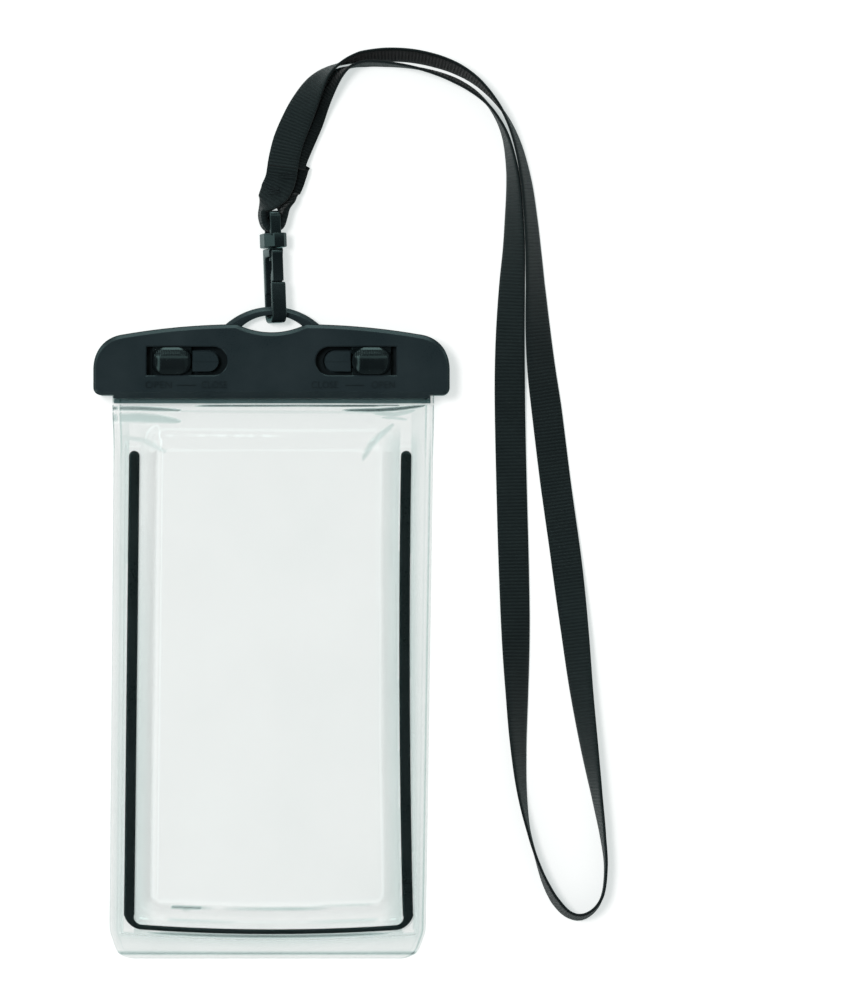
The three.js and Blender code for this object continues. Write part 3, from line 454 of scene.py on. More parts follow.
def jawLoop():
    half = clamp["width"] / 2
    c = clamp["corner"]
    low = clamp["bottom"]
    sx, sy = clamp["shoulder"]
    crown = clamp["crown"]
    nh, nd = clamp["notchHalf"], clamp["notchDeep"]
    radius = (nh ** 2 + nd ** 2) / (2 * nd)
    angle = math.asin(nh / radius)
    top = clamp["sideTop"]
    right = [(half - c, low)] + arc(half - c, low + c, c, -math.pi / 2, 0, 14)
    right += [(half, mix(low + c, top, 0.5)), (half, top)]
    hx, hy = clamp["shoulderHandle"]
    tx, ty = clamp["crownHandle"]
    right += bezier([(half, top), (half, top + clamp["sideHandle"]), (half - hx, sy - hy), (sx, sy)], 26)
    right += bezier([(sx, sy), (sx - tx, crown - ty), (nh, crown)], 22)
    notch = arc(0, crown - nd + radius, radius, -math.pi / 2 + angle, -math.pi / 2 - angle, 24)
    left = [(-x, y) for x, y in right[::-1]]
    return tidyLoop(right + notch + left)


def slotLoop(side, grow=0.0):
    half = clamp["slotHigh"] / 2 + grow
    turnX = clamp["slotInner"] + clamp["slotHigh"] / 2
    outer = clamp["slotOuter"] + grow
    y = clamp["slotY"]
    loop = [(outer, y - half), (outer, y + half), (mix(outer, turnX, 0.5), y + half)]
    loop += arc(turnX, y, half, math.pi / 2, 1.5 * math.pi, 24)
    loop += [(mix(outer, turnX, 0.5), y - half)]
    return tidyLoop(loop) if side > 0 else tidyLoop([(-x, y) for x, y in loop[::-1]])


# The chamfer is wider along the upper edge and the foot than at the ends
def chamferedLoops(loop, low, high):
    count = len(loop)
    widths = []
    for i in range(count):
        before, after = loop[i - 1], loop[(i + 1) % count]
        long = math.hypot(after[0] - before[0], after[1] - before[1])
        facing = -(after[0] - before[0]) / long
        wide = mix(clamp["sideChamfer"], clamp["topChamfer"], smooth(0.3, 0.9, facing))
        widths.append(mix(wide, clamp["footChamfer"], smooth(0.3, 0.9, -facing)))
    levels = [(0.3, 0.0, low), (0.0, 0.0, low + 0.3), (0.0, 0.0, high - 1.0)]
    levels += [(0.02, 1.0, 0.0), (1.0, 0.12, 0.0), (1.12, 0.0, 0.0)]
    loops = []
    for inset, drop, z in levels:
        if z:
            loops.append([(x, y, z) for x, y in drawnIn(loop, inset)])
            continue
        grown = [(drawnIn(loop, inset * widths[i])[i], widths[i]) for i in range(count)]
        loops.append([(x, y, high - drop * wide) for (x, y), wide in grown])
    return loops


def frontShell():
    loop = jawLoop()
    top = clamp["frontTop"]
    shell = meshPiece("frontShell", *stack(chamferedLoops(loop, clamp["parting"], top)))
    half = clamp["footHalf"]
    footTop = top - clamp["footDrop"]
    footLoop = boxLoop(-half, half, clamp["footLow"], clamp["bottom"] + clamp["footLap"])
    foot = slab("foot", footLoop, clamp["footBase"], footTop, 0.2, 0.0, 2)
    lap = clamp["bottom"] + clamp["slopeLap"]
    narrow = half - clamp["slopeIn"]
    slope = meshPiece("slope", *stack([
        [(x, y, footTop - 0.05) for x, y in boxLoop(-half, half, clamp["footLow"], lap)],
        [(x, y, top - 0.03) for x, y in boxLoop(-narrow, narrow, clamp["footTop"], lap)],
    ]))
    shell = unite([shell, foot, slope], 30.0)
    # The hollow, the room for the films at the foot, and the two slots
    lowest = clamp["bottom"] + clamp["lowWall"]
    inside = tidyLoop([(x, max(y, lowest)) for x, y in drawnIn(loop, clamp["wall"])])
    passage = boxLoop(*clamp["passage"], clamp["bottom"] - 2, lowest + 0.2)
    cutters = [
        slab("cavity", inside, clamp["parting"] - 1, top - clamp["faceWall"]),
        slab("passage", passage, clamp["parting"] - 1, clamp["passageTop"]),
    ]
    chamfer = clamp["slotChamfer"]
    for side in (-1, 1):
        levels = [(0.0, clamp["parting"] - 2), (0.0, top - chamfer), (chamfer, top), (chamfer, top + 1)]
        loops = [[(x, y, z) for x, y in slotLoop(side, grow)] for grow, z in levels]
        cutters.append(meshPiece("slotCutter", *stack(loops)))
    return cutAway(shell, cutters, 32.0)


def rearShell():
    plate = slab("rearShell", jawLoop(), 0, clamp["rearTop"], 1.0, 0.15, 5)
    lip = slab("rearLip", boxLoop(*clamp["lip"]), clamp["lipBase"], clamp["rearTop"], 0.5, 0.5, 3)
    return plate, lip


frontJaw = frontShell()
rearJaw, rearLip = rearShell()
print("clamp shells made")


# Arch that the hook hangs on
arch = {
    "bar": 2.9, "half": 16.0, "top": 109.0, "low": 4.1, "high": 6.4, "foot": 3.9, "spread": 2.6,
    "steps": 72,
}


def hangingArch():
    rise = arch["top"] - clamp["crown"]
    outer = (arch["half"] ** 2 + rise ** 2) / (2 * rise)
    centre = arch["top"] - outer
    start = math.asin((clamp["crown"] - arch["foot"] - centre) / (outer - arch["bar"] / 2))
    points = []
    # Share of the half width and of the height, round the bar, with the slope on its outer side
    section = [
        (-0.96, 0.05), (-0.9, 0.0), (0.9, 0.0), (0.97, 0.05), (1.0, 0.12), (1.0, 0.36), (0.97, 0.43),
        (0.5, 0.72), (0.12, 0.95), (0.03, 0.99), (-0.1, 1.0), (-0.8, 1.0), (-0.93, 0.96), (-1.0, 0.86),
        (-1.0, 0.15),
    ]
    for r in range(arch["steps"] + 1):
        turn = mix(start, math.pi - start, r / arch["steps"])
        x = math.cos(turn)
        y = math.sin(turn)
        wide = arch["bar"] + arch["spread"] * (abs(x) / math.cos(start)) ** 2.4
        for share, height in section:
            reach = share if share > 0 else share * (2 * wide / arch["bar"] - 1)
            far = outer - arch["bar"] / 2 + reach * arch["bar"] / 2
            points.append((far * x, centre + far * y, mix(arch["low"], arch["high"], height)))
    return facingOut(meshPiece("hangingArch", points, tubeFaces(arch["steps"] + 1, len(section)), 24.0))


archBar = hangingArch()

# Posts that the locks hook under
post = {
    "high": 7.0, "top": 12.9, "thick": 1.6, "inner": 17.7, "outer": 26.5, "step": 0.25, "stepEdge": 0.2,
    "stemHalf": (2.8, 2.0), "stemBase": 5.4, "stemTop": 12.1,
}


def lockPost(side):
    half = post["high"] / 2
    y = clamp["slotY"]
    loop = [(post["outer"], y - half), (post["outer"], y + half)]
    loop += arc(post["inner"] + half, y, half, math.pi / 2, 1.5 * math.pi, 20)
    loop = tidyLoop(loop)
    if side < 0:
        loop = tidyLoop([(-x, yy) for x, yy in loop[::-1]])
    head = slab("postHead", loop, post["top"] - post["thick"], post["top"], 0.1, 0.3, 1)
    left = min(p[0] for p in loop) - 2
    right = max(p[0] for p in loop) + 2
    lower = boxLoop(left, right, y - half - 1, y - post["stepEdge"])
    cutAway(head, [slab("stepCut", lower, post["top"] - post["step"], post["top"] + 1)])
    middle = side * (post["inner"] + half + 1)
    wide, deep = post["stemHalf"]
    stemLoop = boxLoop(middle - wide, middle + wide, y - deep, y + deep)
    stem = slab("postStem", stemLoop, post["stemBase"], post["stemTop"])
    return joinPieces("lockPost" + ("Right" if side > 0 else "Left"), [head, stem])


leftPost = lockPost(-1)
rightPost = lockPost(1)

# Slide locks
lock = {
    "outer": 40.0, "long": 13.2, "top": 16.2, "shoulder": 14.3, "half": 4.5, "base": 8.7, "flangeTop": 11.9,
    "flangeHalf": 6.0, "ribPitch": 0.56, "ribDeep": 0.15, "endRound": 4.4, "endWall": 2.5,
    "ribsFrom": (1.7, 2.3), "ribsTo": (3.3, 3.7), "ribsIn": (0.7, 1.3), "taper": 0.05, "headHalf": 3.8,
    "headBase": 11.0, "headTop": 13.2, "stemHalf": 2.3, "stemTop": 12.9, "columns": 150, "rows": 30,
}


# A ribbed barrel, round over its top and drawn in at its ends, on a flat flange
def slideLock(name, side):
    columns = lock["columns"]
    rows = lock["rows"]
    inner = lock["outer"] - lock["long"]
    rise = lock["top"] - lock["shoulder"]
    radius = (lock["half"] ** 2 + rise ** 2) / (2 * rise)
    lift = math.asin((radius - rise) / radius)
    points = []
    for c in range(columns + 1):
        x = mix(inner, lock["outer"], c / columns)
        edge = min(x - inner, lock["outer"] - x)
        drop = 0.0
        if edge < lock["endRound"]:
            inward = lock["endRound"] - edge
            drop = lock["endRound"] - math.sqrt(max(lock["endRound"] ** 2 - inward ** 2, 0))
        rib = 0.5 - 0.5 * math.cos(2 * math.pi * (x - inner) / lock["ribPitch"])
        hold = smooth(*lock["ribsIn"], edge)
        taper = 1 - lock["taper"] * drop
        for r in range(rows + 1):
            a = mix(lift, math.pi - lift, r / rows)
            above = lock["half"] * math.cos(a) / math.cos(lift)
            grip = smooth(*lock["ribsFrom"], above) * (1 - smooth(*lock["ribsTo"], above))
            far = radius - lock["ribDeep"] * rib * hold * grip - drop * 0.9
            z = lock["top"] - radius + far * math.sin(a)
            points.append((side * x, clamp["slotY"] + far * math.cos(a) * taper, z))
        for way in (-1, 1):
            points.append((side * x, clamp["slotY"] + way * lock["half"] * taper, lock["base"] + 0.2))
    barrel = facingOut(meshPiece("barrel", points, tubeFaces(columns + 1, rows + 3), 45.0))
    y = clamp["slotY"]
    x0, x1 = sorted((side * inner, side * lock["outer"]))
    flange = slab("flange", boxLoop(x0, x1, y - lock["flangeHalf"], y + lock["flangeHalf"]),
                  lock["base"], lock["flangeTop"], 0.1, 0.3, 3)
    mouth0, mouth1 = sorted((side * (inner - 1), side * (lock["outer"] - lock["endWall"])))
    headLoop = boxLoop(mouth0, mouth1, y - lock["headHalf"], y + lock["headHalf"])
    stemLoop = boxLoop(mouth0, mouth1, y - lock["stemHalf"], y + lock["stemHalf"])
    headRoom = slab("headRoom", headLoop, lock["headBase"], lock["headTop"])
    stemRoom = slab("stemRoom", stemLoop, lock["base"] - 1, lock["stemTop"])
    unite([barrel, flange], 45.0)
    cutAway(barrel, [headRoom, stemRoom], 45.0)
    barrel.name = name
    barrel.data.name = name
    return barrel


leftLock = slideLock("leftLock", -1)
rightLock = slideLock("rightLock", 1)
print("slide locks made")

# Raised lettering under the slots
lettering = {"size": 3.35, "raise": 0.16, "y": 82.35, "dash": 0.42, "spacing": 1.08}


def letters(name, words, x0, x1):
    text = bpy.data.curves.new(name, "FONT")
    text.body = words
    text.size = lettering["size"] * mm
    text.extrude = lettering["raise"] * mm
    text.align_x = "CENTER"
    text.align_y = "CENTER"
    text.space_character = lettering["spacing"]
    sign = bpy.data.objects.new(name, text)
    bpy.context.scene.collection.objects.link(sign)
    bpy.context.view_layer.update()
    wide = sign.dimensions.x / mm
    sign.scale.x = (x1 - x0) / wide
    sign.location = ((x0 + x1) / 2 * mm, lettering["y"] * mm, clamp["frontTop"] * mm)
    bpy.context.view_layer.update()
    graph = bpy.context.evaluated_depsgraph_get()
    mesh = bpy.data.meshes.new_from_object(sign.evaluated_get(graph))
    mesh.transform(sign.matrix_world)
    bpy.data.objects.remove(sign)
    return placed(name, mesh, 30.0)


def dash(name, x0, x1):
    y = lettering["y"]
    half = lettering["dash"] / 2
    top = clamp["frontTop"]
    return slab(name, boxLoop(x0, x1, y - half, y + half), top - 0.1, top + lettering["raise"], 0, 0.05, 2)


def lockLettering():
    parts = [
        letters("leftOpen", "OPEN", -42.0, -33.2), dash("leftDash", -31.5, -25.2),
        letters("leftClose", "CLOSE", -23.2, -14.8), letters("rightClose", "CLOSE", 13.4, 22.2),
        dash("rightDash", 24.8, 30.9), letters("rightOpen", "OPEN", 33.6, 41.3),
    ]
    return joinPieces("lockLettering", parts, 30.0)


lockWords = lockLettering()

# Snap hook with its gate and swivel
hook = {
    "x": 1.33, "y": 103.5, "z": 5.989, "turn": 17.0, "lean": 2.07, "band": 4.9, "half": 5.2, "arm": 1.7,
    "nose": 13.6, "long": 25.0, "block": 22.1, "blockFront": 3.6, "outerRound": 3.0, "innerRound": 1.2,
    "blockRound": 1.4, "noseRound": 0.7, "gateBand": 3.7, "gateThick": 1.5, "gateInset": 0.1,
    "pivotAlong": 23.4, "pivotOut": 4.2, "barrel": 1.0, "swing": 20.0, "tongue": 2.2, "gap": 0.3,
    "swivelLong": 4.8, "swivelBand": 7.4, "swivelHalf": 4.75, "collarCut": 1.2, "collarFacet": (2.9, 2.6),
    "eyeOpen": 5.7, "eyeBar": 1.8, "eyeArm": 1.75, "eyeRound": 2.0, "rimInset": 0.4, "stem": 1.2,
    "stemHead": 1.6, "step": 9.6, "stepOut": 1.0,
}
hookPlace = (
    Matrix.Translation(Vector((hook["x"], hook["y"], hook["z"])) * mm)
    @ Matrix.Rotation(math.radians(hook["lean"]), 4, "Z")
    @ Matrix.Rotation(math.radians(hook["turn"]), 4, "Y")
)
# Turns a shape drawn along the hook and towards its gate, so that its width lies across the hook
acrossHook = Matrix(((0, 0, 1, 0), (1, 0, 0, 0), (0, 1, 0, 0), (0, 0, 0, 1)))
# Turns a shape drawn across the hook and towards its gate, so that its height lies along the hook
alongHook = Matrix(((1, 0, 0, 0), (0, 0, 1, 0), (0, 1, 0, 0), (0, 0, 0, 1)))


def hookSlab(name, loop, width, edge=0.5, steps=4):
    if signedArea(loop) < 0:
        loop = loop[::-1]
    piece = slab(name, loop, -width / 2, width / 2, edge, edge, steps)
    piece.data.transform(acrossHook)
    return piece


def roundBar(name, radius, start, end, lengthwise=True, at=(0.0, 0.0), sides=28):
    loop = arc(0, 0, radius, 0, 2 * math.pi * (sides - 1) / sides, sides - 1)
    piece = slab(name, loop, start, end, 0.12, 0.12, 2)
    if lengthwise:
        piece.data.transform(Matrix.Rotation(math.radians(-90), 4, "X"))
    else:
        piece.data.transform(Matrix.Rotation(math.radians(90), 4, "Y"))
        piece.data.transform(Matrix.Translation(Vector((0, at[0], at[1])) * mm))
    return piece


def hookFrame():
    out = hook["half"]
    inn = out - hook["arm"]
    ro, ri = hook["outerRound"], hook["innerRound"]
    turn = hook["arm"] + ri
    relief = hook["gap"] + (hook["pivotAlong"] - hook["block"]) * math.tan(math.radians(hook["swing"]))
    front = hook["blockFront"]
    bend, tip = hook["blockRound"], hook["noseRound"]
    loop = [(hook["long"], -out), (hook["long"], front), (hook["pivotAlong"], front)]
    loop += [(hook["pivotAlong"], front - hook["gap"]), (hook["block"], front - relief)]
    loop += arc(hook["block"] - bend, -inn + hook["stepOut"] + bend, bend, 0, -math.pi / 2, 8)
    loop += [(hook["step"] + 0.5, -inn + hook["stepOut"]), (hook["step"], -inn)]
    loop += arc(turn, -inn + ri, ri, 1.5 * math.pi, math.pi, 8)
    loop += arc(turn, inn - ri, ri, math.pi, math.pi / 2, 8)
    loop += [(hook["nose"], inn)]
    loop += arc(hook["nose"] - tip, out - tip, tip, 0, math.pi / 2, 5)
    loop += arc(ro, out - ro, ro, math.pi / 2, math.pi, 12)
    loop += arc(ro, -out + ro, ro, math.pi, 1.5 * math.pi, 12)
    body = hookSlab("hookFrame", tidyLoop(loop), hook["band"], 0.55, 4)
    cutters = [
        roundBar("stemHole", hook["stem"] + hook["gap"], hook["block"] - 1, hook["long"] + 1),
        roundBar("pivotHole", hook["barrel"] + hook["gap"], -hook["band"], hook["band"], False,
                 (hook["pivotAlong"], hook["pivotOut"])),
    ]
    body = cutAway(body, cutters, 38.0)
    body.data.transform(hookPlace)
    return body


def hookTongue():
    out = hook["half"] - hook["gateInset"]
    inn = out - hook["gateThick"]
    tongueOut = hook["half"] - hook["arm"] - hook["gap"]
    tongueIn = tongueOut - hook["gateThick"]
    end = hook["nose"] + hook["gap"]
    loop = [
        (hook["pivotAlong"], out), (end, out), (end, tongueOut), (hook["nose"] - hook["tongue"], tongueOut),
        (hook["nose"] - hook["tongue"], tongueIn), (end + hook["tongue"], tongueIn),
        (end + 2 * hook["tongue"], inn), (hook["pivotAlong"], inn),
    ]
    leaf = hookSlab("hookGate", loop, hook["gateBand"], 0.3, 3)
    barrel = roundBar("gateBarrel", hook["barrel"], -hook["gateBand"] / 2, hook["gateBand"] / 2, False,
                      (hook["pivotAlong"], hook["pivotOut"]))
    gate = unite([leaf, barrel], 38.0)
    gate.data.transform(hookPlace)
    return gate


def hookSwivel():
    start = hook["long"] + hook["gap"]
    blockEnd = start + hook["swivelLong"]
    eyeEnd = blockEnd + hook["eyeOpen"] + hook["eyeBar"]
    half = hook["swivelHalf"]
    side = hook["swivelBand"] / 2
    cut = hook["collarCut"]
    fx, fy = hook["collarFacet"]
    collar = [
        (-side, -half + cut), (-side + cut, -half), (side - cut, -half), (side, -half + cut),
        (side, half - cut), (side - cut, half), (-side + fx, half), (-side, half - fy),
    ]
    block = slab("swivelEye", collar, start, blockEnd, 0.35, 0.35, 3)
    block.data.transform(alongHook)
    rim = half - hook["rimInset"]
    bend = hook["eyeRound"]
    loop = [(blockEnd - 1, -rim)] + arc(eyeEnd - bend, -rim + bend, bend, -math.pi / 2, 0, 8)
    loop += arc(eyeEnd - bend, rim - bend, bend, 0, math.pi / 2, 8) + [(blockEnd - 1, rim)]
    ring = hookSlab("eyeRing", tidyLoop(loop), hook["gateBand"], 0.6, 4)
    room = half - hook["eyeArm"]
    hole = boxLoop(blockEnd - 0.02, blockEnd + hook["eyeOpen"], -room, room)
    cutter = hookSlab("eyeHole", hole, hook["gateBand"] + 2, 0, 1)
    cutAway(ring, [cutter], 38.0)
    headStart = hook["block"] - hook["gap"] - 1
    stem = roundBar("stem", hook["stem"], headStart + 0.2, start + 1)
    head = roundBar("stemHead", hook["stemHead"], headStart, headStart + 1)
    whole = unite([block, ring, stem, head], 38.0)
    whole.data.transform(hookPlace)
    return whole


hookBody = hookFrame()
hookGate = hookTongue()
swivel = hookSwivel()
print("snap hook made")

# Front and back film
film = {
    "thick": 0.34, "end": -109.0, "top": 83.6, "corner": 8.5, "leftTop": -53.0, "leftEnd": -54.6,
    "rightTop": 53.3, "rightEnd": 50.4, "pipeWide": 3.6, "pipeHigh": 1.8, "pipeTop": 61.6,
    "pipeCorner": 4.2, "leftPipeTop": -46.4, "leftPipeEnd": -48.5, "rightPipeTop": 45.4,
    "rightPipeEnd": 45.9, "rightBow": 1.2, "run": -101.5, "runRise": 1.8, "runWide": 0.46, "slope": 1.3,
    "pocketHigh": 10.5, "pocketTop": 59.5, "pocketFoot": -88.5, "pocketSlope": 7.5, "riseStart": 62.0,
    "riseEnd": 76.2, "parting": 6.7, "moreLeft": 0.5, "moreRight": 1.1, "moreEnd": 1.6, "pocketEnd": 76.5,
    "bowReach": 14.6, "bowHold": 3.65, "backTop": 0.5, "between": 0.3, "pipeLift": 0.25, "pipeSides": 18,
    "foldsAbove": 50, "foldsBelow": -85, "cornerSteps": 14,
}

# Folds and weld lines of the front film: their path, half width, rise and painted shade, how dark each is
# painted; the lines with no rise are painted shade alone
folds = [
    {"half": 0.55, "rise": 0.2, "shade": 1.0,
     "path": [(-27, 75.6), (-10, 75.7), (10, 75.8), (30, 75.6), (43, 75.8)]},
    {"half": 1.0, "rise": 0.3, "shade": 0.78,
     "path": [(-57, 74.9), (-45, 74.8), (-38, 74.5), (-30.5, 74.1)]},
    {"half": 2.6, "rise": 0.5, "shade": 0.46,
     "path": [(-59, 71.6), (-45, 71.8), (-38, 71.3), (-30.8, 70.4)]},
    {"half": 1.8, "rise": 0.4, "shade": 0.32,
     "path": [(-50.7, 65.4), (-43, 64), (-35.4, 60)]},
    {"half": 0.9, "rise": 0.3, "shade": 0.95,
     "path": [(24, 74.2), (36, 74.2), (44, 74.8), (51.5, 75.7)]},
    {"half": 1.4, "rise": 0.3, "shade": 0.42,
     "path": [(34, 73.2), (41, 72.8), (48, 74.2)]},
    {"half": 0.7, "rise": 0.3, "shade": 0.4,
     "path": [(36.9, 71.8), (41, 71.7), (45.3, 71.1)]},
    {"half": 1.8, "rise": 0.5, "shade": 0.4,
     "path": [(40.9, 69.8), (36.6, 66), (33.2, 62.4), (30.2, 57)]},
    {"half": 1.1, "rise": 0.1, "shade": 0.82,
     "path": [(-33.5, -93.2), (-29.5, -93.6), (-24, -93.3)]},
    {"half": 0.9, "rise": 0.1, "shade": 0.56,
     "path": [(-26, -93.2), (-18, -92.8), (8, -92.9), (36, -92.4)]},
    {"half": 0.85, "rise": 0.0, "shade": 0.82,
     "path": [(-44, -102.9), (0, -102.9), (42, -102.9)]},
    {"half": 0.7, "rise": 0.0, "shade": 0.36,
     "path": [(-38, -98.3), (-10, -98.9), (10, -98.9), (38, -98.3)]},
    {"half": 0.9, "rise": 0.15, "shade": 0.27,
     "path": [(-36, 73.9), (-10, 73.7), (20, 73.6), (40, 73.4)]},
]


def downShare(y):
    return (clamp["bottom"] - y) / (clamp["bottom"] - film["end"])


def leftEdge(y):
    return mix(film["leftTop"], film["leftEnd"], downShare(y)) - film["moreLeft"]


def rightEdge(y):
    return mix(film["rightTop"], film["rightEnd"], downShare(y)) + film["moreRight"]


def leftPipe(y):
    return mix(film["leftPipeTop"], film["leftPipeEnd"], downShare(y))


def rightPipe(y):
    down = min(max(downShare(y), 0.0), 1.0)
    return mix(film["rightPipeTop"], film["rightPipeEnd"], down) - film["rightBow"] * 4 * down * (1 - down)


def bowed(x, y):
    half = (film["rightPipeEnd"] - film["leftPipeEnd"]) / 2
    near = 1 - smooth(0, film["bowReach"], abs(y - film["run"]) - film["pipeWide"])
    hold = smooth(0, film["bowHold"], y - film["end"])
    return y + film["runRise"] * (x / half) ** 2 * near * hold


def floorRise(y):
    return film["parting"] * smooth(film["riseStart"], film["riseEnd"], y)


def pocketShare(x, y):
    seamLeft = leftPipe(y) + film["pipeWide"] / 2 + film["slope"]
    seamRight = rightPipe(y) - film["pipeWide"] / 2 - film["slope"]
    seamEnd = film["run"] + film["pipeWide"] / 2 + film["slope"]
    across = smooth(0, film["pocketSlope"], x - seamLeft) * smooth(0, film["pocketSlope"], seamRight - x)
    along = smooth(seamEnd, film["pocketFoot"], y) * (1 - smooth(film["pocketTop"], film["pocketEnd"], y))
    return across * along


def channelShare(x, y):
    half = film["pipeWide"] / 2 + film["between"]
    slope = film["slope"]

    def beside(distance):
        return 1 - smooth(half, half + slope, distance)

    tip = film["pipeTop"] + film["between"]
    belowTop = 1 - smooth(tip, tip + 2 * slope, y)
    aboveRun = smooth(film["run"] - half - slope, film["run"] - half, y)
    inside = min(
        smooth(leftPipe(y) - half - slope, leftPipe(y) - half, x),
        1 - smooth(rightPipe(y) + half, rightPipe(y) + half + slope, x),
    )
    legs = max(beside(abs(x - leftPipe(y))), beside(abs(x - rightPipe(y)))) * belowTop * aboveRun
    return max(legs, beside(abs(y - film["run"])) * inside)


def folded(y):
    return y > film["foldsAbove"] or y < film["foldsBelow"]


# 1 along the middle of a fold and 0 beyond its sides, thinning out at both ends
def foldShare(fold, x, y):
    path = fold["path"]
    reach = fold["half"]
    first, last = sorted((path[0][0], path[-1][0]))
    if not first - reach < x < last + reach:
        return 0.0
    total = sum(math.dist(one, two) for one, two in zip(path, path[1:]))
    nearest, along, run = 1e9, 0.0, 0.0
    for one, two in zip(path, path[1:]):
        long = math.dist(one, two)
        t = ((x - one[0]) * (two[0] - one[0]) + (y - one[1]) * (two[1] - one[1])) / long ** 2
        t = min(max(t, 0.0), 1.0)
        far = math.hypot(x - mix(one[0], two[0], t), y - mix(one[1], two[1], t))
        if far < nearest:
            nearest = far
            along = (run + long * t) / total
        run += long
    half = reach * max(math.sin(math.pi * along), 0.0) ** 0.45
    return 1 - smooth(0.25, 1.0, nearest / half) if half > 0.02 else 0.0


# The slight unevenness of the limp film, along the pocket's sides and under the clamp
def softWaves(x, y, pocket, channel):
    upper = smooth(40, 66, y) * (1 - smooth(74, 77.5, y))
    across = noise.noise(Vector((x * 0.018, y * 0.34, 3.1))) * 0.9
    sides = smooth(0.02, 0.4, pocket) * (1 - smooth(0.6, 1.0, pocket))
    along = noise.noise(Vector((x * 0.5, y * 0.03, 5.4))) * 0.8
    wide = noise.noise(Vector((x * 0.02, y * 0.017, 9.2))) * 0.35
    return (1 - channel) * (across * upper * 0.3 + along * sides * 0.35 + wide * pocket)


def frontHeight(x, y):
    flat = floorRise(y) + film["backTop"] + film["between"]
    pocket = pocketShare(x, y)
    channel = channelShare(x, y)
    tented = (film["pocketHigh"] - film["backTop"] - flat) * pocket
    lift = max((film["pipeHigh"] + film["between"]) * channel, tented, 0.0)
    loose = smooth(50, 62, y) * (1 - smooth(73.5, 76.5, y))
    waves = softWaves(x, y, pocket, channel)
    lowest = 0.12 if lift < 0.4 else -0.35
    height = flat + lift + max(waves * smooth(0.0, 1.2, lift + loose), lowest - 0.2)
    if folded(y):
        height += sum(fold["rise"] * foldShare(fold, x, y) for fold in folds)
    return height


# Painted shade of the film beside the piping, at its rims and in its welds, the painted highlight strips,
# and where each begins and ends
shading = {
    "plain": 0.16, "pipeFade": 9, "margin": 0.04, "marginReach": 1.5, "outside": 0.16, "outsideReach": 4.5,
    "outsideLeast": 0.2, "left": 0.06, "leftLower": 0.12, "leftSpan": (-30.0, 48.0), "right": 0.2,
    "insideReach": (1.0, 8.0), "upperSpan": (52.0, 72.0), "rim": 0.12, "rimUpper": 0.6,
    "rimReach": (0.1, 0.45), "line": 0.06, "lineUpper": 0.3, "lineAt": 2.5, "lineReach": (0.1, 0.35),
    "weldRight": 0.35, "weldRightReach": (0.15, 0.5), "weldEnd": 0.45, "weldEndReach": (0.15, 0.6),
    "stripAt": 76.25, "strip": 0.85, "stripReach": (0.25, 0.55), "rimStripAt": 1.9, "rimStrip": 0.8,
    "rimStripReach": (0.1, 0.5), "leftStripAt": 73.7, "leftStripEnd": -31, "leftStrip": 0.8,
    "leftStripReach": (0.1, 0.3),
}


def nearLine(distance, reach):
    return 1 - smooth(*reach, distance)


# Painted shade of the front film, from 0 to 1: darker beside the piping, at the rims, weld lines and folds,
# and lighter along painted highlight strips
def frontShade(x, y):
    left = leftPipe(y) - film["pipeWide"] / 2
    right = rightPipe(y) + film["pipeWide"] / 2
    run = film["run"] - film["pipeWide"] / 2
    below = 1 - smooth(film["pipeTop"], film["pipeTop"] + shading["pipeFade"], y)
    shade = shading["plain"]
    inside = min(x - left - film["pipeWide"], right - film["pipeWide"] - x)
    outside = max(left - x, x - right, run - y)
    fromEdge = max(min(x - leftEdge(y), rightEdge(y) - x, y - film["end"] + film["moreEnd"]), 0.0)
    if outside > 0:
        near = 1 - smooth(0.0, shading["outsideReach"], outside)
        shade += shading["outside"] * near * max(below, shading["outsideLeast"])
        shade += shading["margin"] * smooth(0.0, shading["marginReach"], fromEdge)
    elif inside > 0:
        lower = 1 - smooth(*shading["leftSpan"], y)
        side = shading["left"] + shading["leftLower"] * lower if x < 0 else shading["right"]
        shade += side * nearLine(inside, shading["insideReach"]) * below
    # Painted shade along the weld lines beside the edges and the thin rims, and a painted highlight strip
    # between them
    upper = smooth(*shading["upperSpan"], y)
    shade += (shading["rim"] + shading["rimUpper"] * upper) * nearLine(fromEdge, shading["rimReach"])
    line = nearLine(abs(fromEdge - shading["lineAt"]), shading["lineReach"])
    shade += (shading["line"] + shading["lineUpper"] * upper) * line
    weldRight = nearLine(abs(x - rightEdge(y) + film["moreRight"]), shading["weldRightReach"])
    weldEnd = nearLine(abs(y - film["end"] - 0.1), shading["weldEndReach"])
    shade += shading["weldRight"] * weldRight * (1 - upper) + shading["weldEnd"] * weldEnd
    # Painted shade of the folds, then painted highlight strips under the lip, beside the rims and at the
    # upper left
    if folded(y):
        for fold in folds:
            shade = max(shade, fold["shade"] * foldShare(fold, x, y))
        shade *= 1 - shading["strip"] * nearLine(abs(y - shading["stripAt"]), shading["stripReach"])
        rimStrip = nearLine(abs(fromEdge - shading["rimStripAt"]), shading["rimStripReach"])
        shade *= 1 - shading["rimStrip"] * rimStrip * upper
        if x < shading["leftStripEnd"]:
            leftStrip = nearLine(abs(y - shading["leftStripAt"]), shading["leftStripReach"])
            shade *= 1 - shading["leftStrip"] * leftStrip
    return min(shade, 1.0)


def cornerInset(y):
    beyond = film["end"] - film["moreEnd"] + film["corner"] - y
    if beyond <= 0:
        return 0.0
    return film["corner"] - math.sqrt(max(film["corner"] ** 2 - beyond ** 2, 0.0))


def evenly(start, end, step):
    count = max(round((end - start) / step), 1)
    return [mix(start, end, i / count) for i in range(count)]


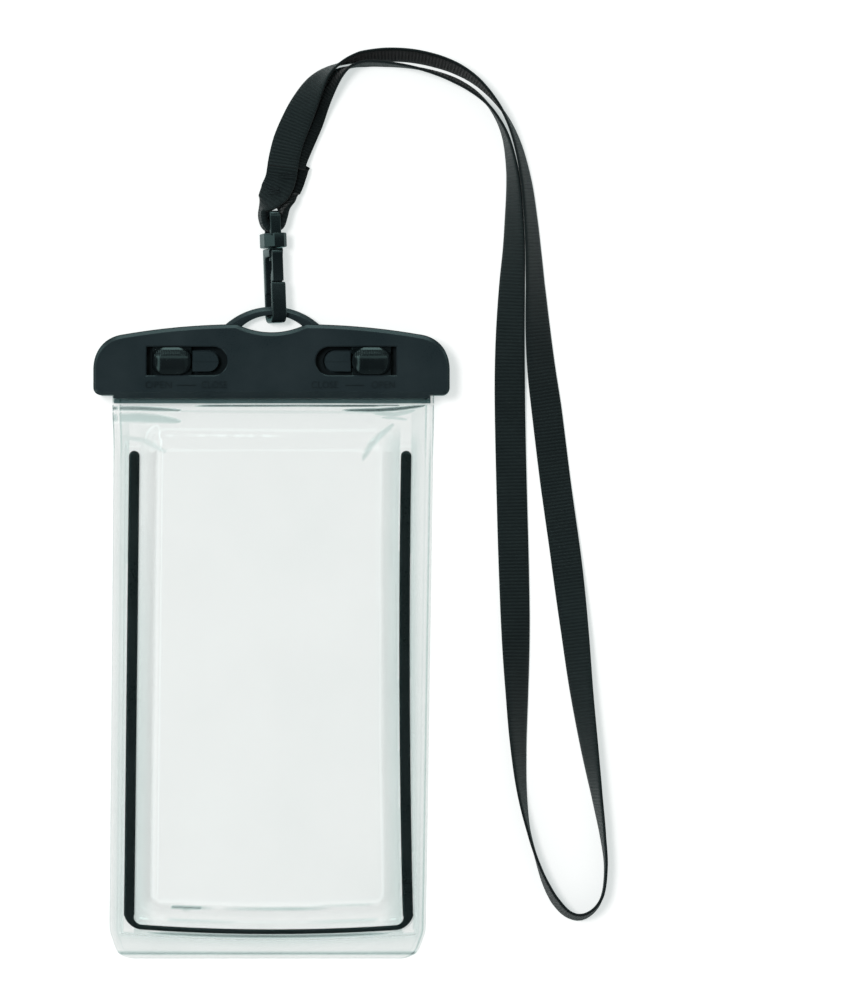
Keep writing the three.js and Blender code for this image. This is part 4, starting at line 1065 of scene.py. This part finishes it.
def filmGrid(name, columnShares, rowPlaces, heightAt, shadeAt):
    points = []
    faces = []
    shades = []
    low = film["end"] - film["moreEnd"]
    turns = [math.pi / 2 * i / film["cornerSteps"] for i in range(film["cornerSteps"] + 1)]
    corner = [low + film["corner"] * (1 - math.cos(turn)) for turn in turns]
    ys = sorted(set([round(y, 4) for y in rowPlaces + corner]))
    for y in ys:
        left = leftEdge(y)
        right = rightEdge(y)
        middle = (left + right) / 2
        narrow = 1 - 2 * cornerInset(y) / (right - left)
        for share in columnShares:
            x = mix(left, right, share)
            points.append((middle + (x - middle) * narrow, bowed(x, y), heightAt(x, y)))
            shades.append(shadeAt(x, y))
    wide = len(columnShares)
    for r in range(len(ys) - 1):
        for c in range(wide - 1):
            a = r * wide + c
            faces.append((a, a + 1, a + wide + 1, a + wide))
    piece = meshPiece(name, points, faces, None)
    tone = piece.data.attributes.new("shade", "FLOAT", "POINT")
    tone.data.foreach_set("value", shades)
    shell = piece.modifiers.new("gauge", "SOLIDIFY")
    shell.thickness = film["thick"] * mm
    shell.offset = 1.0
    return applyModifiers(piece, 60.0)


sideColumns = evenly(0.0, 0.115, 0.0048)
frontColumns = sideColumns + evenly(0.115, 0.885, 0.0072) + [1 - c for c in sideColumns[::-1]]
lowest = film["end"] - film["moreEnd"]
frontRows = evenly(lowest, lowest + 10, 0.5) + evenly(lowest + 10, 58.0, 1.05) + evenly(58.0, 66.0, 0.5)
frontRows += evenly(66.0, 78.0, 0.25) + evenly(78.0, film["top"], 1.0) + [film["top"]]
frontFilm = filmGrid("frontFilm", frontColumns, frontRows, frontHeight, frontShade)
backColumns = evenly(0.0, 1.0, 1 / 60) + [1.0]
backRows = evenly(lowest, film["top"], 1.9) + [film["top"]]
backFilm = filmGrid("backFilm", backColumns, backRows, lambda x, y: floorRise(y) + 0.05, lambda x, y: 0.0)
print("films made,", len(frontFilm.data.polygons), "faces in the front one")


# Piping in its channel
def pipingPiece():
    route = []
    corner = film["pipeCorner"]
    cornerY = film["run"] + corner
    tip = film["pipeTop"] - film["pipeWide"] / 2 - 1.0
    for i in range(61):
        y = mix(tip, cornerY, i / 60)
        route.append((leftPipe(y), y))
    left = leftPipe(film["run"])
    right = rightPipe(film["run"])
    for i in range(1, 15):
        turn = i / 14 * math.pi / 2
        route.append((left + corner * (1 - math.cos(turn)), cornerY - corner * math.sin(turn)))
    for i in range(1, 30):
        route.append((mix(left + corner, right - corner, i / 30), film["run"]))
    for i in range(14, 0, -1):
        turn = i / 14 * math.pi / 2
        route.append((right - corner * (1 - math.cos(turn)), cornerY - corner * math.sin(turn)))
    for i in range(60, -1, -1):
        y = mix(tip, cornerY, i / 60)
        route.append((rightPipe(y), y))
    half = film["pipeWide"] / 2
    points = []

    def ring(x, y, sideX, sideY, width):
        for s in range(film["pipeSides"]):
            a = 2 * math.pi * s / film["pipeSides"]
            ca, sa = math.cos(a), math.sin(a)
            across = math.copysign(abs(ca) ** 0.7, ca) * half * width
            high = (math.copysign(abs(sa) ** 0.7, sa) * 0.5 * (0.5 + 0.5 * width) + 0.5) * film["pipeHigh"]
            px = x + sideX * across
            py = y + sideY * across
            points.append((px, bowed(px, py), floorRise(py) + film["backTop"] + film["pipeLift"] + high))

    def capRings(x, y, sideX, outward):
        reaches = [0.99, 0.93, 0.8, 0.6, 0.35]
        for reach in (reaches if outward else reaches[::-1]):
            ring(x, y + half * reach, sideX, 0, math.sqrt(1 - reach ** 2))

    capRings(route[0][0], route[0][1], -1, True)
    for i, (x, y) in enumerate(route):
        ax, ay = route[max(i - 1, 0)]
        bx, by = route[min(i + 1, len(route) - 1)]
        long = math.hypot(bx - ax, by - ay)
        ring(x, y, (by - ay) / long, (ax - bx) / long, mix(1.0, film["runWide"], abs(bx - ax) / long))
    capRings(route[-1][0], route[-1][1], 1, False)
    faces = tubeFaces(len(points) // film["pipeSides"], film["pipeSides"])
    return facingOut(meshPiece("pipingStrip", points, faces, 60.0))


piping = pipingPiece()
print("piping made")


# Shader groups that several materials use
def newGroup(name, inputs, outputs):
    group = bpy.data.node_groups.new(name, "ShaderNodeTree")
    for label, kind, value in inputs:
        socket = group.interface.new_socket(label, in_out="INPUT", socket_type=kind)
        socket.default_value = value
    for label, kind in outputs:
        group.interface.new_socket(label, in_out="OUTPUT", socket_type=kind)
    start = group.nodes.new("NodeGroupInput")
    end = group.nodes.new("NodeGroupOutput")
    return group, start, end


def addNode(tree, kind, **values):
    node = tree.nodes.new(kind)
    for label, value in values.items():
        setattr(node, label, value)
    return node


def calc(tree, operation, a, b=None, clamped=False):
    node = addNode(tree, "ShaderNodeMath", operation=operation, use_clamp=clamped)
    for i, value in enumerate((a, b)):
        if value is None:
            continue
        if isinstance(value, (int, float)):
            node.inputs[i].default_value = value
        else:
            tree.links.new(value, node.inputs[i])
    return node.outputs[0]


def tint(tree, share, a, b):
    node = addNode(tree, "ShaderNodeMix", data_type="RGBA")
    for socket, value in ((node.inputs[0], share), (node.inputs[6], a), (node.inputs[7], b)):
        if isinstance(value, (tuple, float)):
            socket.default_value = value
        else:
            tree.links.new(value, socket)
    return node.outputs[2]


def noiseNode(tree, vector, scale, detail=2.0, roughness=0.5):
    node = addNode(tree, "ShaderNodeTexNoise")
    tree.links.new(vector, node.inputs["Vector"])
    if isinstance(scale, (int, float)):
        node.inputs["Scale"].default_value = scale
    else:
        tree.links.new(scale, node.inputs["Scale"])
    node.inputs["Detail"].default_value = detail
    node.inputs["Roughness"].default_value = roughness
    return node.outputs["Fac"]


# Fine spark-eroded grain, faint flow marks and a little polish by handling
def mouldedGrain():
    inputs = [
        ("Color", "NodeSocketColor", (0.02, 0.025, 0.03, 1)), ("Grain Size", "NodeSocketFloat", 2600.0),
        ("Variation", "NodeSocketFloat", 0.12), ("Roughness", "NodeSocketFloat", 0.5),
        ("Roughness Spread", "NodeSocketFloat", 0.1),
    ]
    outputs = [("Color", "NodeSocketColor"), ("Roughness", "NodeSocketFloat"), ("Height", "NodeSocketFloat")]
    group, start, end = newGroup("mouldedGrain", inputs, outputs)
    place = addNode(group, "ShaderNodeTexCoord").outputs["Object"]
    fine = noiseNode(group, place, start.outputs["Grain Size"], 2.0, 0.6)
    wide = noiseNode(group, place, 55.0, 3.0, 0.55)
    share = calc(group, "MULTIPLY", calc(group, "SUBTRACT", wide, 0.35), start.outputs["Variation"])
    share = calc(group, "MULTIPLY", share, 4.0, True)
    lighter = tint(group, share, start.outputs["Color"], (0.12, 0.15, 0.16, 1))
    group.links.new(lighter, end.inputs["Color"])
    shift = calc(group, "MULTIPLY", calc(group, "SUBTRACT", wide, 0.5), start.outputs["Roughness Spread"])
    speck = calc(group, "MULTIPLY", calc(group, "SUBTRACT", fine, 0.5), 0.15)
    total = calc(group, "ADD", calc(group, "ADD", start.outputs["Roughness"], shift), speck, True)
    group.links.new(total, end.inputs["Roughness"])
    group.links.new(fine, end.inputs["Height"])
    return group


# Grosgrain: cords across the width, warp threads over them and a plain selvedge, with a painted sheen on the
# cords' crests that breaks up at random, and a painted shade on the underside
def ribbedWeave():
    inputs = [
        ("Color", "NodeSocketColor", (0.01, 0.015, 0.017, 1)),
        ("Rib Sheen Color", "NodeSocketColor", (0.03, 0.04, 0.042, 1)),
        ("Rib Pitch", "NodeSocketFloat", 1.15), ("Thread Pitch", "NodeSocketFloat", 0.42),
        ("Half Width", "NodeSocketFloat", 5.0),
        ("Underside Shade Color", "NodeSocketColor", (0.003, 0.004, 0.004, 1)),
        ("Underside", "NodeSocketFloat", 0.0),
    ]
    outputs = [("Color", "NodeSocketColor"), ("Roughness", "NodeSocketFloat"), ("Height", "NodeSocketFloat")]
    group, start, end = newGroup("ribbedWeave", inputs, outputs)
    uv = addNode(group, "ShaderNodeUVMap", uv_map="weave").outputs["UV"]
    parts = addNode(group, "ShaderNodeSeparateXYZ")
    group.links.new(uv, parts.inputs[0])
    across, along = parts.outputs[0], parts.outputs[1]
    full = 2 * math.pi
    ribTurn = calc(group, "MULTIPLY", calc(group, "DIVIDE", along, start.outputs["Rib Pitch"]), full)
    rib = calc(group, "ADD", calc(group, "MULTIPLY", calc(group, "SINE", ribTurn), 0.5), 0.5)
    threadTurn = calc(group, "MULTIPLY", calc(group, "DIVIDE", across, start.outputs["Thread Pitch"]), full)
    thread = calc(group, "ADD", calc(group, "MULTIPLY", calc(group, "SINE", threadTurn), 0.5), 0.5)
    edge = calc(group, "DIVIDE", calc(group, "ABSOLUTE", across), start.outputs["Half Width"])
    rim = calc(group, "MULTIPLY", calc(group, "SUBTRACT", edge, 0.86), 12.0, True)
    inner = calc(group, "SUBTRACT", 1.0, rim)
    height = calc(group, "MULTIPLY", rib, calc(group, "ADD", calc(group, "MULTIPLY", inner, 0.8), 0.2))
    height = calc(group, "ADD", height, calc(group, "MULTIPLY", thread, 0.22))
    fuzz = noiseNode(group, uv, 1.4, 3.0, 0.6)
    wide = noiseNode(group, uv, 0.09, 2.0, 0.5)
    group.links.new(calc(group, "ADD", height, calc(group, "MULTIPLY", fuzz, 0.15)), end.inputs["Height"])
    # The cords' crests are mixed towards the sheen colour: a painted sheen
    share = calc(group, "MULTIPLY", calc(group, "ADD", rib, wide), 0.42, True)
    sheenBreakup = calc(group, "ADD", calc(group, "MULTIPLY", fuzz, 0.7), 0.35)
    share = calc(group, "MULTIPLY", share, sheenBreakup, True)
    top = tint(group, share, start.outputs["Color"], start.outputs["Rib Sheen Color"])
    # The underside takes a darker colour: painted shade
    under = tint(group, calc(group, "MULTIPLY", share, 0.3), start.outputs["Underside Shade Color"],
                 start.outputs["Rib Sheen Color"])
    group.links.new(tint(group, start.outputs["Underside"], top, under), end.inputs["Color"])
    rough = calc(group, "ADD", calc(group, "MULTIPLY", fuzz, 0.2), 0.55)
    group.links.new(rough, end.inputs["Roughness"])
    return group


# Clear film: a slight waviness, faint scuffs and a hint of haze; its colour runs from the clear tint through
# the plain tint to the painted shade colour and the dark colour of painted creases
def filmSurface():
    inputs = [
        ("Color", "NodeSocketColor", (0.98, 0.99, 0.985, 1)),
        ("Plain Color", "NodeSocketColor", (0.92, 0.92, 0.92, 1)),
        ("Shade Color", "NodeSocketColor", (0.58, 0.68, 0.66, 1)),
        ("Crease Shade Color", "NodeSocketColor", (0.1, 0.14, 0.14, 1)), ("Shade", "NodeSocketFloat", 0.0),
        ("Haze", "NodeSocketFloat", 0.05), ("Scuffs", "NodeSocketFloat", 0.12),
    ]
    outputs = [("Color", "NodeSocketColor"), ("Roughness", "NodeSocketFloat"), ("Height", "NodeSocketFloat")]
    group, start, end = newGroup("filmSurface", inputs, outputs)
    place = addNode(group, "ShaderNodeTexCoord").outputs["Object"]
    stretch = addNode(group, "ShaderNodeMapping")
    stretch.inputs["Scale"].default_value = (1.0, 0.22, 1.0)
    group.links.new(place, stretch.inputs["Vector"])
    wave = noiseNode(group, stretch.outputs["Vector"], 95.0, 2.0, 0.5)
    wide = noiseNode(group, place, 30.0, 2.0, 0.5)
    scuff = noiseNode(group, stretch.outputs["Vector"], 900.0, 4.0, 0.7)
    marks = calc(group, "MULTIPLY", calc(group, "SUBTRACT", scuff, 0.62), 6.0, True)
    marks = calc(group, "MULTIPLY", marks, start.outputs["Scuffs"])
    haze = calc(group, "MULTIPLY", wide, start.outputs["Haze"])
    group.links.new(calc(group, "ADD", haze, marks, True), end.inputs["Roughness"])
    group.links.new(calc(group, "ADD", wave, calc(group, "MULTIPLY", wide, 0.6)), end.inputs["Height"])
    uneven = calc(group, "MULTIPLY", calc(group, "SUBTRACT", wide, 0.5), 0.08)
    total = calc(group, "ADD", start.outputs["Shade"], uneven, True)
    plain = calc(group, "MULTIPLY", total, 6.25, True)
    light = tint(group, plain, start.outputs["Color"], start.outputs["Plain Color"])
    grey = calc(group, "MULTIPLY", calc(group, "SUBTRACT", total, 0.16), 2.94, True)
    light = tint(group, grey, light, start.outputs["Shade Color"])
    deep = calc(group, "MULTIPLY", calc(group, "SUBTRACT", total, 0.5), 2.0, True)
    group.links.new(tint(group, deep, light, start.outputs["Crease Shade Color"]), end.inputs["Color"])
    return group


groups = {"grain": mouldedGrain(), "weave": ribbedWeave(), "film": filmSurface()}


# Materials
def newMaterial(name):
    material = bpy.data.materials.new(name)
    material.use_nodes = True
    tree = material.node_tree
    shader = tree.nodes["Principled BSDF"]
    return material, tree, shader


# A node of the group with its inputs, of which colours are given as three numbers
def groupNode(tree, group, values):
    node = addNode(tree, "ShaderNodeGroup")
    node.node_tree = groups[group]
    for label, value in values.items():
        node.inputs[label].default_value = (*value, 1) if isinstance(value, tuple) else value
    return node


def finishWith(tree, shader, node, strength, distance):
    tree.links.new(node.outputs["Color"], shader.inputs["Base Color"])
    tree.links.new(node.outputs["Roughness"], shader.inputs["Roughness"])
    bump = addNode(tree, "ShaderNodeBump")
    bump.inputs["Strength"].default_value = strength
    bump.inputs["Distance"].default_value = distance
    tree.links.new(node.outputs["Height"], bump.inputs["Height"])
    tree.links.new(bump.outputs["Normal"], shader.inputs["Normal"])


# How deep in metres the bumps of each kind of surface may be
bumpDepth = {"grain": 0.0002, "weave": 0.0003, "film": 0.0008}


def grainMaterial(name, look):
    material, tree, shader = newMaterial(name)
    grain = groupNode(tree, "grain", {
        "Color": look["color"], "Grain Size": look["grain"], "Variation": look["variation"],
        "Roughness": look["roughness"], "Roughness Spread": look["spread"],
    })
    finishWith(tree, shader, grain, look["bump"], bumpDepth["grain"])
    shader.inputs["Specular IOR Level"].default_value = look["specular"]
    shader.inputs["Specular Tint"].default_value = (*look["tint"], 1)
    material.diffuse_color = (*look["color"], 1)
    return material


def weaveMaterial(name, look):
    material, tree, shader = newMaterial(name)
    weave = groupNode(tree, "weave", {
        "Color": look["color"], "Rib Sheen Color": look["light"], "Rib Pitch": look["rib"],
        "Thread Pitch": look["thread"], "Half Width": webbing["width"] / 2, "Underside Shade Color": look["under"],
    })
    side = addNode(tree, "ShaderNodeAttribute", attribute_name="shadedUnderside")
    tree.links.new(side.outputs["Fac"], weave.inputs["Underside"])
    finishWith(tree, shader, weave, look["bump"], bumpDepth["weave"])
    shader.inputs["Sheen Weight"].default_value = look["sheen"]
    shader.inputs["Sheen Roughness"].default_value = look["sheenRoughness"]
    shader.inputs["Specular IOR Level"].default_value = look["specular"]
    return material


def filmMaterial(name, look):
    material, tree, shader = newMaterial(name)
    surface = groupNode(tree, "film", {
        "Color": look["color"], "Plain Color": look["plainColor"], "Shade Color": look["shadeColor"],
        "Crease Shade Color": look["creaseShadeColor"], "Haze": look["haze"], "Scuffs": look["scuffs"],
    })
    tone = addNode(tree, "ShaderNodeAttribute", attribute_name="shade")
    tree.links.new(tone.outputs["Fac"], surface.inputs["Shade"])
    finishWith(tree, shader, surface, look["bump"], bumpDepth["film"])
    shader.inputs["Transmission Weight"].default_value = 1.0
    shader.inputs["IOR"].default_value = look["ior"]
    # Light reaches what lies under the film
    path = addNode(tree, "ShaderNodeLightPath")
    clear = addNode(tree, "ShaderNodeBsdfTransparent")
    clear.inputs["Color"].default_value = (*look["through"], 1)
    both = addNode(tree, "ShaderNodeMixShader")
    share = calc(tree, "MAXIMUM", path.outputs["Is Shadow Ray"], path.outputs["Is Diffuse Ray"])
    tree.links.new(share, both.inputs[0])
    tree.links.new(shader.outputs[0], both.inputs[1])
    tree.links.new(clear.outputs[0], both.inputs[2])
    tree.links.new(both.outputs[0], tree.nodes["Material Output"].inputs["Surface"])
    return material


finishes = {
    "clampPlastic": grainMaterial("clampPlastic", {
        "color": (0.0125, 0.0205, 0.024), "tint": (0.75, 1.0, 0.98), "grain": 2600.0, "variation": 0.04,
        "roughness": 0.3, "spread": 0.06, "bump": 0.1, "specular": 0.32,
    }),
    # The lip is lighter than the clamp: painted light of the film lying over it
    "lipLitThroughFilm": grainMaterial("lipLitThroughFilm", {
        "color": (0.1, 0.17, 0.176), "tint": (0.75, 1.0, 0.98), "grain": 2600.0, "variation": 0.08,
        "roughness": 0.4, "spread": 0.1, "bump": 0.08, "specular": 0.32,
    }),
    # The letters are darker than the clamp: painted shade at the raised letters
    "letterShadePlastic": grainMaterial("letterShadePlastic", {
        "color": (0.0065, 0.0105, 0.0125), "tint": (0.75, 1.0, 0.98), "grain": 2600.0, "variation": 0.03,
        "roughness": 0.3, "spread": 0.05, "bump": 0.06, "specular": 0.35,
    }),
    "lockPlastic": grainMaterial("lockPlastic", {
        "color": (0.004, 0.0065, 0.0075), "tint": (0.75, 1.0, 0.98), "grain": 2400.0, "variation": 0.03,
        "roughness": 0.2, "spread": 0.04, "bump": 0.05, "specular": 0.42,
    }),
    "insidePlastic": grainMaterial("insidePlastic", {
        "color": (0.006, 0.009, 0.0105), "tint": (0.8, 1.0, 0.98), "grain": 2200.0, "variation": 0.04,
        "roughness": 0.6, "spread": 0.1, "bump": 0.1, "specular": 0.3,
    }),
    "sealRubber": grainMaterial("sealRubber", {
        "color": (0.03, 0.035, 0.037), "tint": (1.0, 1.0, 1.0), "grain": 1800.0, "variation": 0.06,
        "roughness": 0.8, "spread": 0.1, "bump": 0.1, "specular": 0.3,
    }),
    "hookPlastic": grainMaterial("hookPlastic", {
        "color": (0.0045, 0.0078, 0.009), "tint": (0.75, 1.0, 0.98), "grain": 2400.0, "variation": 0.03,
        "roughness": 0.26, "spread": 0.05, "bump": 0.06, "specular": 0.5,
    }),
    "pipingRubber": grainMaterial("pipingRubber", {
        "color": (0.007, 0.0125, 0.013), "tint": (0.75, 1.0, 0.98), "grain": 1500.0, "variation": 0.03,
        "roughness": 0.3, "spread": 0.1, "bump": 0.04, "specular": 0.4,
    }),
    "grosgrain": weaveMaterial("grosgrain", {
        # The light colour is a painted sheen on the cords' crests and the under colour a painted shade on
        # the underside
        "color": (0.0035, 0.0068, 0.0075), "light": (0.018, 0.029, 0.029), "under": (0.0022, 0.0036, 0.004),
        "rib": 1.15, "thread": 0.42, "bump": 0.7, "sheen": 0.12, "sheenRoughness": 0.4, "specular": 0.2,
    }),
    "stitchThread": grainMaterial("stitchThread", {
        "color": (0.004, 0.006, 0.007), "tint": (0.8, 1.0, 0.98), "grain": 6000.0, "variation": 0.08,
        "roughness": 0.6, "spread": 0.1, "bump": 0.3, "specular": 0.3,
    }),
    # The film's tints, with the painted shade colour and the dark colour of painted creases; the clearest
    # tint shows along the painted highlight strips
    "clearFilm": filmMaterial("clearFilm", {
        "color": (0.99, 0.995, 0.992), "plainColor": (0.925, 0.92, 0.918), "shadeColor": (0.58, 0.68, 0.665),
        "creaseShadeColor": (0.08, 0.12, 0.12), "haze": 0.03, "scuffs": 0.05, "bump": 0.1, "ior": 1.42,
        "through": (0.96, 0.97, 0.967),
    }),
}

# What each piece is finished with, rides on and stands for
dressing = [
    (neckStrap, "grosgrain", "webbing", "", ["lanyard_strap"]),
    (strapTurn, "grosgrain", "webbing", "", ["strap_end_fold"]),
    (upperStitches, "stitchThread", "thread", "", ["bartack_upper"]),
    (lowerStitches, "stitchThread", "thread", "", ["bartack_lower"]),
    (frontJaw, "clampPlastic", "clamp_plastic", "front_jaw", ["front_jaw"]),
    (lockWords, "letterShadePlastic", "clamp_plastic", "front_jaw", []),
    (rearJaw, "clampPlastic", "clamp_plastic", "pouch", ["rear_jaw"]),
    (rearLip, "lipLitThroughFilm", "clamp_plastic", "pouch", []),
    (archBar, "clampPlastic", "clamp_plastic", "pouch", []),
    (leftPost, "clampPlastic", "clamp_plastic", "pouch", []),
    (rightPost, "clampPlastic", "clamp_plastic", "pouch", []),
    (leftLock, "lockPlastic", "slider_plastic", "slider_left", ["slider_left"]),
    (rightLock, "lockPlastic", "slider_plastic", "slider_right", ["slider_right"]),
    (hookBody, "hookPlastic", "hook_plastic", "hook", ["hook_body"]),
    (hookGate, "hookPlastic", "hook_plastic", "gate", ["hook_gate"]),
    (swivel, "hookPlastic", "hook_plastic", "swivel", ["swivel_eye"]),
    (frontFilm, "clearFilm", "clear_film", "pouch", ["front_film"]),
    (backFilm, "clearFilm", "clear_film", "pouch", ["back_film"]),
    (piping, "pipingRubber", "dark_piping", "pouch", ["edge_piping"]),
]
for piece, finish, slotName, body, nodesReplaced in dressing:
    piece.data.materials.clear()
    piece.data.materials.append(finishes[finish])
    if body:
        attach(piece, body)
    if nodesReplaced:
        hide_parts(*nodesReplaced)

for node, finish in (("jaw_liner", "insidePlastic"), ("jaw_gasket", "sealRubber")):
    cadNodes[node].data.materials.clear()
    cadNodes[node].data.materials.append(finishes[finish])

strapPath = [tuple(s[0] * mm) for s in strapStations[::4]]
if len(strapStations) % 4 != 1:
    strapPath.append(tuple(strapStations[-1][0] * mm))
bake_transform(neckStrap)
for piece in (strapTurn, upperStitches, lowerStitches):
    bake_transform(piece)
print("pieces dressed")


# Floor, world and lamp
studio = {
    "floor": (0.61, 0.58, 0.58), "floorSize": 4.0, "floorLevel": -0.0001, "glow": (0.5, 0.545, 0.54),
    "mirroredGlow": (0.12, 0.3, 0.29), "worldLight": 0.5, "zenith": 0.04, "shineTint": (0.8, 1.0, 0.985),
    "horizon": (0.1, 0.3), "keyPower": 12.5, "keySize": 0.32, "keyPlace": (-0.34, 0.24, 1.5),
    "keyTarget": (0.02, 0.03, 0.0),
}
# What shiny surfaces see: the way, where it begins and is full, where it fades if it does, and its strength
reflections = [
    ("up", 0.86, 0.94, None, 3.4), ("up", 0.24, 0.34, (0.58, 0.68), 1.0), ("down", 0.7, 0.9, None, 0.12),
    ("left", 0.64, 0.72, (0.84, 0.92), 1.8), ("right", 0.7, 0.9, None, 0.12),
]


def makeFloor():
    mesh = bpy.data.meshes.new("studioFloor")
    size = studio["floorSize"]
    corners = [(-size, -size, 0), (size, -size, 0), (size, size, 0), (-size, size, 0)]
    mesh.from_pydata(corners, [], [(0, 1, 2, 3)])
    floor = bpy.data.objects.new("studioFloor", mesh)
    floor.location.z = studio["floorLevel"]
    bpy.context.scene.collection.objects.link(floor)
    material, tree, shader = newMaterial("studioWhite")
    tree.nodes.remove(shader)
    diffuse = addNode(tree, "ShaderNodeBsdfDiffuse")
    diffuse.inputs["Color"].default_value = (*studio["floor"], 1)
    glow = addNode(tree, "ShaderNodeEmission")
    path = addNode(tree, "ShaderNodeLightPath")
    seen = calc(tree, "MAXIMUM", path.outputs["Is Camera Ray"], path.outputs["Is Glossy Ray"])
    seen = calc(tree, "MAXIMUM", seen, path.outputs["Is Transmission Ray"])
    bounced = calc(tree, "SUBTRACT", 1.0, path.outputs["Is Transmission Ray"])
    bounced = calc(tree, "MULTIPLY", path.outputs["Is Glossy Ray"], bounced)
    mirrored = tint(tree, bounced, (*studio["glow"], 1.0), (*studio["mirroredGlow"], 1.0))
    tree.links.new(mirrored, glow.inputs["Color"])
    tree.links.new(seen, glow.inputs["Strength"])
    both = addNode(tree, "ShaderNodeAddShader")
    tree.links.new(diffuse.outputs[0], both.inputs[0])
    tree.links.new(glow.outputs[0], both.inputs[1])
    tree.links.new(both.outputs[0], tree.nodes["Material Output"].inputs["Surface"])
    mesh.materials.append(material)


def ramped(tree, value, start, full):
    ramp = addNode(tree, "ShaderNodeMapRange", interpolation_type="SMOOTHSTEP")
    tree.links.new(value, ramp.inputs[0])
    ramp.inputs[1].default_value = start
    ramp.inputs[2].default_value = full
    return ramp.outputs[0]


def makeWorld():
    world = bpy.data.worlds.new("studioWorld")
    bpy.context.scene.world = world
    world.use_nodes = True
    tree = world.node_tree
    sky = tree.nodes["Background"]
    path = addNode(tree, "ShaderNodeLightPath")
    place = addNode(tree, "ShaderNodeTexCoord").outputs["Generated"]
    parts = addNode(tree, "ShaderNodeSeparateXYZ")
    tree.links.new(place, parts.inputs[0])
    ways = {"up": parts.outputs[1], "right": parts.outputs[0]}
    ways["down"] = calc(tree, "MULTIPLY", parts.outputs[1], -1.0)
    ways["left"] = calc(tree, "MULTIPLY", parts.outputs[0], -1.0)
    seen = None
    for axis, start, full, fading, strength in reflections:
        share = ramped(tree, ways[axis], start, full)
        if fading:
            share = calc(tree, "SUBTRACT", share, ramped(tree, ways[axis], *fading))
        share = calc(tree, "MULTIPLY", share, strength)
        seen = calc(tree, "ADD", share, studio["zenith"] if seen is None else seen)
    above = ramped(tree, parts.outputs[2], *studio["horizon"])
    through = calc(tree, "MULTIPLY", path.outputs["Is Transmission Ray"], above)
    below = calc(tree, "SUBTRACT", path.outputs["Is Transmission Ray"], through)
    shiny = calc(tree, "MAXIMUM", path.outputs["Is Glossy Ray"], through)
    plain = calc(tree, "MAXIMUM", path.outputs["Is Camera Ray"], below)
    color = tint(tree, shiny, (1.0, 1.0, 1.0, 1.0), (*studio["shineTint"], 1.0))
    tree.links.new(color, sky.inputs["Color"])
    rest = calc(tree, "SUBTRACT", 1.0, calc(tree, "MAXIMUM", shiny, plain))
    total = calc(tree, "ADD", calc(tree, "MULTIPLY", shiny, seen), plain)
    total = calc(tree, "ADD", total, calc(tree, "MULTIPLY", rest, studio["worldLight"]))
    tree.links.new(total, sky.inputs["Strength"])


def makeLamp(name, place, target, size, power):
    lamp = bpy.data.lights.new(name, "AREA")
    lamp.shape = "SQUARE"
    lamp.size = size
    lamp.energy = power
    holder = bpy.data.objects.new(name, lamp)
    holder.location = place
    holder.rotation_euler = (Vector(target) - Vector(place)).to_track_quat("-Z", "Y").to_euler()
    holder.visible_glossy = False
    holder.visible_transmission = False
    bpy.context.scene.collection.objects.link(holder)


makeFloor()
makeWorld()
makeLamp("keyLamp", studio["keyPlace"], studio["keyTarget"], studio["keySize"], studio["keyPower"])
bpy.context.scene.view_settings.view_transform = "Standard"
print("studio set")
